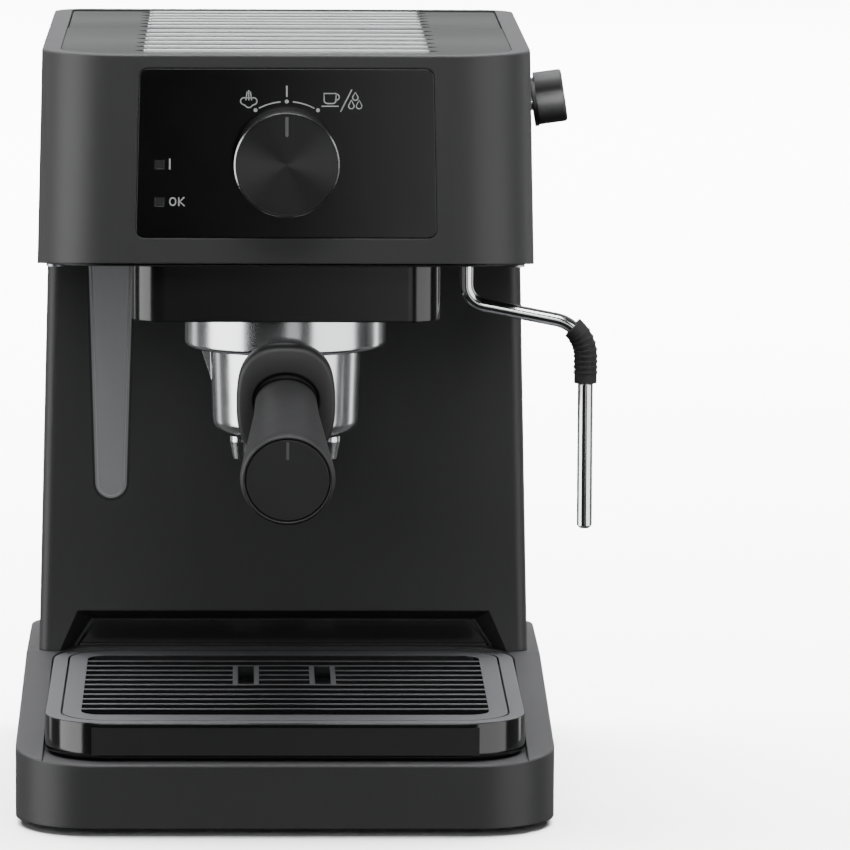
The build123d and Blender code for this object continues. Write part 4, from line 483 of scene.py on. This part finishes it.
# Cup sign with its saucer, a slash and three drops
cup = bmesh.new()
CUP_TOP = 272.1
bottom = arc(14.9, 269.6, 1.2, 180, 270, 6) + arc(16.8, 269.6, 1.2, 270, 360, 6)
bowl = [(13.6, CUP_TOP), (13.7, 270.0)] + bottom + [(18.0, 270.0), (18.1, CUP_TOP)]
line(cup, panel, bowl, closed=True)
line(cup, panel, arc(18.1, 270.75, 1.1, 75, -80))
line(cup, panel, [(12.7, 267.4), (19.0, 267.4)])
line(cup, panel, [(19.7, 265.4), (23.8, 273.5)])
DROP_RADIUS = 1.0
for x, tip, low in ((25.1, 272.5, 269.6), (23.65, 269.7, 266.5), (26.5, 269.7, 266.5)):
    drop = [(x, tip)] + arc(x, low + DROP_RADIUS, DROP_RADIUS, 25, -205)
    line(cup, panel, drop, 0.4, closed=True)
piece("cup_sign_print", cup, "machine", pale_ink)

# Words beside the two lamps: a bar for on, and OK
words = bmesh.new()
line(words, panel, [(-42.8, LENS_ROWS[0] - 2.0), (-42.8, LENS_ROWS[0] + 2.0)], 0.6)
OK_BASE = LENS_ROWS[1] - 1.6
OK_TOP = LENS_ROWS[1] + 1.6
letter_o = arc(-41.7, OK_TOP - 1.3, 1.05, 0, 180, 10) + arc(-41.7, OK_BASE + 1.3, 1.05, 180, 360, 10)
line(words, panel, letter_o, 0.5, closed=True)
line(words, panel, [(-39.5, OK_BASE), (-39.5, OK_TOP)], 0.5)
line(words, panel, [(-37.5, OK_TOP), (-39.2, LENS_ROWS[1]), (-37.4, OK_BASE)], 0.5)
piece("lamp_words_print", words, "machine", pale_ink)

# Pointer let into the dial's face
dial_face = Face((0, DIAL_FACE, DIAL_HEIGHT), RIGHT, UP)
pointer = bmesh.new()
prism(pointer, dial_face, [(-0.6, 10.9), (0, 10.2), (0.6, 10.9), (0.6, 17.6), (-0.6, 17.6)], 0.0, 0.2)
piece("dial_pointer", pointer, "dial", grey_ink)

# Level window: a flat black line round it paints the shade in the gap, and a pale line inside paints a
# highlight on the moulding's edge
WINDOW_TOP = 205.9
WINDOW_FOOT = 108.15
WINDOW_HALF_TOP = 9.0
WINDOW_HALF_FOOT = 6.15
window_face = Face((-67.0, 40.0, 0.0), RIGHT, UP)
WINDOW_LINES = (
    ("window_joint", -0.4, 0.9, painted_shade),
    ("window_edge", 1.2, 0.35, painted_edge_highlight()),
)
for name, inset, width, finish in WINDOW_LINES:
    top = WINDOW_HALF_TOP - inset
    foot = arc(0, WINDOW_FOOT, WINDOW_HALF_FOOT - inset, 180, 360, 24)
    around = [(-top, WINDOW_TOP)] + foot + [(top, WINDOW_TOP)]
    frame_line = bmesh.new()
    line(frame_line, window_face, around, width)
    piece(name, frame_line, "machine", finish)

# Satin panel let into the tray's front
TRAY_FRONT = -116.4
TRAY_HALF = 71.4
TRAY_LOW = 29.4
TRAY_HIGH = 39.7
tray_face = Face((0, TRAY_FRONT, 0), RIGHT, UP)
tray_foot = [(-TRAY_HALF, TRAY_LOW), (TRAY_HALF, TRAY_LOW)]
tray_head = [(TRAY_HALF, TRAY_HIGH), (-TRAY_HALF, TRAY_HIGH)]
tray_panel = bmesh.new()
prism(tray_panel, tray_face, tray_foot + tray_head, 0.0, 0.3)
piece("tray_front_panel", tray_panel, "tray", tray_panel_plastic())

# Polished panel with a raised rim on the back of the recess behind the tray
RECESS_BACK = 52.5
polished_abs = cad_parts["group_fascia"].data.materials[0]
recess_face = Face((0, RECESS_BACK, 0), RIGHT, UP)
recess_corners = arc(72.6, 50.4, 1.6, 20, 90, 6) + arc(-72.6, 50.4, 1.6, 90, 160, 6)
recess_outline = [(-80.2, 42.6), (80.2, 42.6)] + recess_corners
recess_panel = bmesh.new()
prism(recess_panel, recess_face, recess_outline, 0.0, 0.2)
line(recess_panel, recess_face, recess_outline, 1.2, closed=True, low=0.1, high=0.8)
piece("recess_panel", recess_panel, "machine", polished_abs)

# Pressed notches at the ends of the ribs on the two top plates, drawn as flat dark diamonds: painted shade
# for the shadow inside them
SHEET_TOP = 286.2
RIB_END = 53.4
RIB_COUNT = 6
NOTCH_ALONG = 2.4
NOTCH_ACROSS = 2.2
sheet_face = Face((0, 0, SHEET_TOP), RIGHT, (0, 1, 0))
for plate, body, pitch in (("cup_shelf", "machine", 18.0), ("lid_plate", "lid", 13.5)):
    low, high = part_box(plate)
    middle = (low[1] + high[1]) / 2 / MM
    notch_shade = bmesh.new()
    for row in range(RIB_COUNT):
        y = middle + (row - (RIB_COUNT - 1) / 2) * pitch
        for x in (-RIB_END, RIB_END):
            near, far = x - NOTCH_ALONG, x + NOTCH_ALONG
            diamond = [(near, y), (x, y - NOTCH_ACROSS), (far, y), (x, y + NOTCH_ACROSS)]
            prism(notch_shade, sheet_face, diamond, 0.0, INK_THICKNESS)
    piece(plate + "_notches", notch_shade, body, painted_shade)

# Diamond-cut bead round the dial's rim; each corner of its section is a radius and a height over the face
BEAD_SECTION = ((19.28, 0.12), (18.8, 0.6), (18.7, 0.3))
BEAD_SIDES = 96
bead = bmesh.new()
loops = []
for radius, height in BEAD_SECTION:
    circle = ring(0, 0, radius, BEAD_SIDES)
    loops.append([bead.verts.new(dial_face.at(x, y, height)) for x, y in circle])
for near, far in zip(loops, loops[1:] + loops[:1]):
    for i in range(BEAD_SIDES):
        j = (i + 1) % BEAD_SIDES
        bead.faces.new((near[i], near[j], far[j], far[i]))
piece("dial_bead", bead, "dial", diamond_cut())

# Handle: a hooded collar that is squarer than an ellipse, a neck out of the hood, and a rounded end.
# Each station has its distance from the root, half width, half height, drop and squareness, 2 for an ellipse.
HANDLE_STATIONS = (
    (0.0, 16.3, 19.7, 3.4, 2.7), (0.6, 17.4, 20.8, 3.4, 2.7), (1.8, 18.2, 21.6, 3.4, 2.7),
    (7.0, 18.3, 21.7, 3.4, 2.7), (8.2, 18.1, 21.4, 3.4, 2.7), (9.0, 17.6, 20.8, 3.3, 2.65),
    (9.4, 16.8, 19.8, 3.2, 2.6), (9.8, 14.8, 15.6, 2.6, 2.4), (10.1, 12.9, 11.4, 2.1, 2.1),
    (10.0, 12.5, 10.8, 2.0, 2.05), (9.6, 12.3, 10.5, 1.9, 2.0), (6.0, 12.1, 10.0, 2.2, 2.0),
    (5.0, 11.4, 8.6, 3.0, 2.0), (9.0, 11.4, 8.7, 2.9, 2.0), (14.0, 11.5, 9.2, 2.4, 2.0),
    (24.0, 11.6, 10.6, 1.1, 2.0), (36.0, 11.8, 11.7, 0.1, 2.0), (46.0, 12.1, 12.1, 0.0, 2.0),
    (70.0, 13.5, 13.5, 0.0, 2.0), (95.0, 15.0, 15.0, 0.0, 2.0), (123.0, 16.7, 16.7, 0.0, 2.0),
    (127.0, 16.9, 16.9, 0.0, 2.0), (128.6, 16.7, 16.7, 0.0, 2.0), (129.6, 16.1, 16.1, 0.0, 2.0),
    (130.0, 15.4, 15.4, 0.0, 2.0), (129.6, 15.2, 15.2, 0.0, 2.0), (127.0, 15.2, 15.2, 0.0, 2.0),
)
HANDLE_SIDES = 64
forward = Vector((0, -math.cos(HANDLE_TILT), -math.sin(HANDLE_TILT)))
handle_up = (0, -math.sin(HANDLE_TILT), math.cos(HANDLE_TILT))
root_face = Face(HANDLE_ROOT, RIGHT, handle_up)
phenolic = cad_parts["handle_grip"].data.materials[0]


def rounded_box(half_across, half_tall, power):
    """Points round an outline that goes from an ellipse at power 2 towards a box."""
    turns = [2 * math.pi * i / HANDLE_SIDES for i in range(HANDLE_SIDES)]
    across = [math.copysign(abs(math.cos(turn)) ** (2 / power), math.cos(turn)) for turn in turns]
    tall = [math.copysign(abs(math.sin(turn)) ** (2 / power), math.sin(turn)) for turn in turns]
    return [(half_across * x, half_tall * y) for x, y in zip(across, tall)]


handle = bmesh.new()
rings = []
for distance, half_across, half_tall, drop, power in HANDLE_STATIONS:
    outline = rounded_box(half_across, half_tall, power)
    rings.append([handle.verts.new(root_face.at(x, y - drop, distance)) for x, y in outline])
for near, far in zip(rings, rings[1:]):
    for i in range(HANDLE_SIDES):
        j = (i + 1) % HANDLE_SIDES
        handle.faces.new((near[i], near[j], far[j], far[i])).smooth = True
handle.faces.new(rings[0])
handle.faces.new(rings[-1])
handle_moulding = piece("handle_moulding", handle, "portafilter", phenolic)
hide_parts("handle_grip")

# Pointer line on the handle's end cap
cap_face = Face(Vector(HANDLE_ROOT) + CAP_FACE * forward, RIGHT, handle_up)
mark = bmesh.new()
line(mark, cap_face, [(0, 7.6), (0, 14.0)], 1.0)
piece("handle_pointer", mark, "portafilter", grey_ink)

# Cross recesses in the screw heads that show, in the rear cover and the base plate, drawn as flat dark
# crosses: painted shade for the shadow in the recess
SCREW_HEAD_REACH = 2.1
SCREW_SLOT = 0.9
cross_shade = bmesh.new()
screw_faces = [Face((x, REAR_FACE, z), (-1, 0, 0), UP) for x in (-80.0, 80.0) for z in (72.0, 176.0)]
screw_faces += [Face((x, y, 1.0), RIGHT, (0, -1, 0)) for x in (-92.5, 92.5) for y in (-73.0, 73.0)]
for spot in screw_faces:
    reach = SCREW_HEAD_REACH
    half = SCREW_SLOT / 2
    cross = [(-half, reach), (-half, half), (-reach, half), (-reach, -half), (-half, -half), (-half, -reach)]
    cross += [(-x, -y) for x, y in cross]
    prism(cross_shade, spot, cross, 0.0, INK_THICKNESS)
piece("screw_recesses", cross_shade, "machine", painted_shade)

# Bar and ring on the rocker's two ends
ROCKER = (55.0, 122.0, 72.0)
ROCKER_RADIUS = 22.2
ROCKER_MARK = 5.6
signs = bmesh.new()
for side in (-1, 1):
    slope = side * math.asin(ROCKER_MARK / ROCKER_RADIUS)
    sink = ROCKER_RADIUS * (1 - math.cos(slope))
    up = (0, math.sin(slope), math.cos(slope))
    end = Face((ROCKER[0], ROCKER[1] + sink, ROCKER[2] + side * ROCKER_MARK), (-1, 0, 0), up)
    if side > 0:
        line(signs, end, [(0, -1.3), (0, 1.3)], 0.5, low=-0.1, high=0.08)
    else:
        line(signs, end, ring(0, 0, 1.2), 0.45, closed=True, low=-0.1, high=0.08)
piece("rocker_signs", signs, "rocker", pale_ink)

# Pale floor under soft studio light
floor_mesh = bpy.data.meshes.new("studio_floor")
FLOOR_REACH = 14.0
corners = [(x * FLOOR_REACH, y * FLOOR_REACH, 0) for x, y in ((-1, -1), (1, -1), (1, 1), (-1, 1))]
floor_mesh.from_pydata(corners, [], [(0, 1, 2, 3)])
floor = bpy.data.objects.new("studio_floor", floor_mesh)
floor_mesh.materials.append(surface("paper_backdrop", "#f4f4f4", 0.9)[0])
bpy.context.scene.collection.objects.link(floor)
# The floor takes light and shadow, but is hidden from diffuse and glossy rays, so its glare stays off the
# machine
floor.visible_diffuse = False
floor.visible_glossy = False

# Sky: pale behind the machine and dim in front of it, so that dark gloss stays dark
world = bpy.data.worlds.new("studio_sky")
bpy.context.scene.world = world
world.use_nodes = True
sky = world.node_tree
direction = add(sky, "ShaderNodeTexCoord")
parts = add(sky, "ShaderNodeSeparateXYZ", {"Vector": direction.outputs["Generated"]})
fade = {"Value": parts.outputs["Y"], "From Min": -0.2, "From Max": 0.8, "To Min": 0.03, "To Max": 0.3}
shade = add(sky, "ShaderNodeMapRange", fade)
# Below the horizon the studio is dimmer, which keeps the casing's side edges darker
lowered = {"Value": parts.outputs["Z"], "From Min": -0.12, "From Max": 0.06, "To Min": 0.6}
horizon = add(sky, "ShaderNodeMapRange", lowered)
factors = {0: shade.outputs["Result"], 1: horizon.outputs["Result"]}
dimmed = add(sky, "ShaderNodeMath", factors, operation="MULTIPLY")
sky.links.new(dimmed.outputs["Value"], sky.nodes["Background"].inputs["Color"])


def softbox(name, place, target, size, power, spread=180.0):
    """A rectangular soft light at a place, turned to a target, both in metres; spread is in degrees."""
    lamp = bpy.data.lights.new(name, "AREA")
    lamp.shape = "RECTANGLE"
    lamp.size, lamp.size_y = size
    lamp.energy = power
    lamp.spread = math.radians(spread)
    made = bpy.data.objects.new(name, lamp)
    made.visible_camera = False
    made.location = place
    made.rotation_euler = (Vector(target) - Vector(place)).to_track_quat("-Z", "Y").to_euler()
    bpy.context.scene.collection.objects.link(made)


MIDDLE = (0.0, -0.03, 0.15)
softbox("softbox_backdrop", (0.0, 2.6, 3.2), (0.0, 2.6, 0.0), (6.0, 5.4), 1500.0, 100.0)
# The same over the floor in front, which only the views from behind show
softbox("softbox_front_floor", (0.0, -6.4, 3.2), (0.0, -6.4, 0.0), (8.0, 5.6), 1500.0, 60.0)
# Neither is mirrored in the machine
for over_floor in ("softbox_backdrop", "softbox_front_floor"):
    bpy.data.objects[over_floor].visible_glossy = False
softbox("softbox_top", (0.0, -1.3, 2.4), MIDDLE, (2.2, 1.4), 28.0, 110.0)
softbox("softbox_left", (-1.05, -0.37, 0.25), MIDDLE, (0.96, 1.1), 15.5)
softbox("softbox_right", (0.9, -0.6, 0.25), MIDDLE, (1.1, 1.1), 9.8)
# Narrow strips behind the sides give chrome its thin bright lines near the edges
softbox("strip_left", (-1.0, 0.72, 0.25), MIDDLE, (0.2, 0.9), 0.7)
softbox("strip_right", (1.0, 0.72, 0.25), MIDDLE, (0.2, 0.9), 1.1)
# The side boxes and strips are set for what chrome and gloss mirror, so they leave matt faces alone
for side in ("softbox_left", "softbox_right", "strip_left", "strip_right"):
    bpy.data.objects[side].visible_diffuse = False
softbox("softbox_fill", (-0.3, -3.0, 1.1), MIDDLE, (1.8, 0.9), 22.0)
softbox("softbox_low", (0.36, -2.3, 0.1), (0.06, 0.0, 0.24), (0.6, 0.5), 0.9)

# Camera where the photograph was taken from
CAMERA_PLACE = (-0.0153, -2.7262, 0.5057)
CAMERA_PITCH = math.radians(7.712)
CAMERA_YAW = math.radians(1.4116)
CAMERA_ROLL = math.radians(-0.28)
CAMERA_LENS = 304.94
lens = bpy.data.cameras.new("camera")
lens.lens = CAMERA_LENS
lens.sensor_width = 36.0
camera = bpy.data.objects.new("camera", lens)
camera.location = CAMERA_PLACE
camera.rotation_euler = (math.pi / 2 - CAMERA_PITCH, CAMERA_ROLL, -CAMERA_YAW)
bpy.context.scene.collection.objects.link(camera)
bpy.context.scene.camera = camera
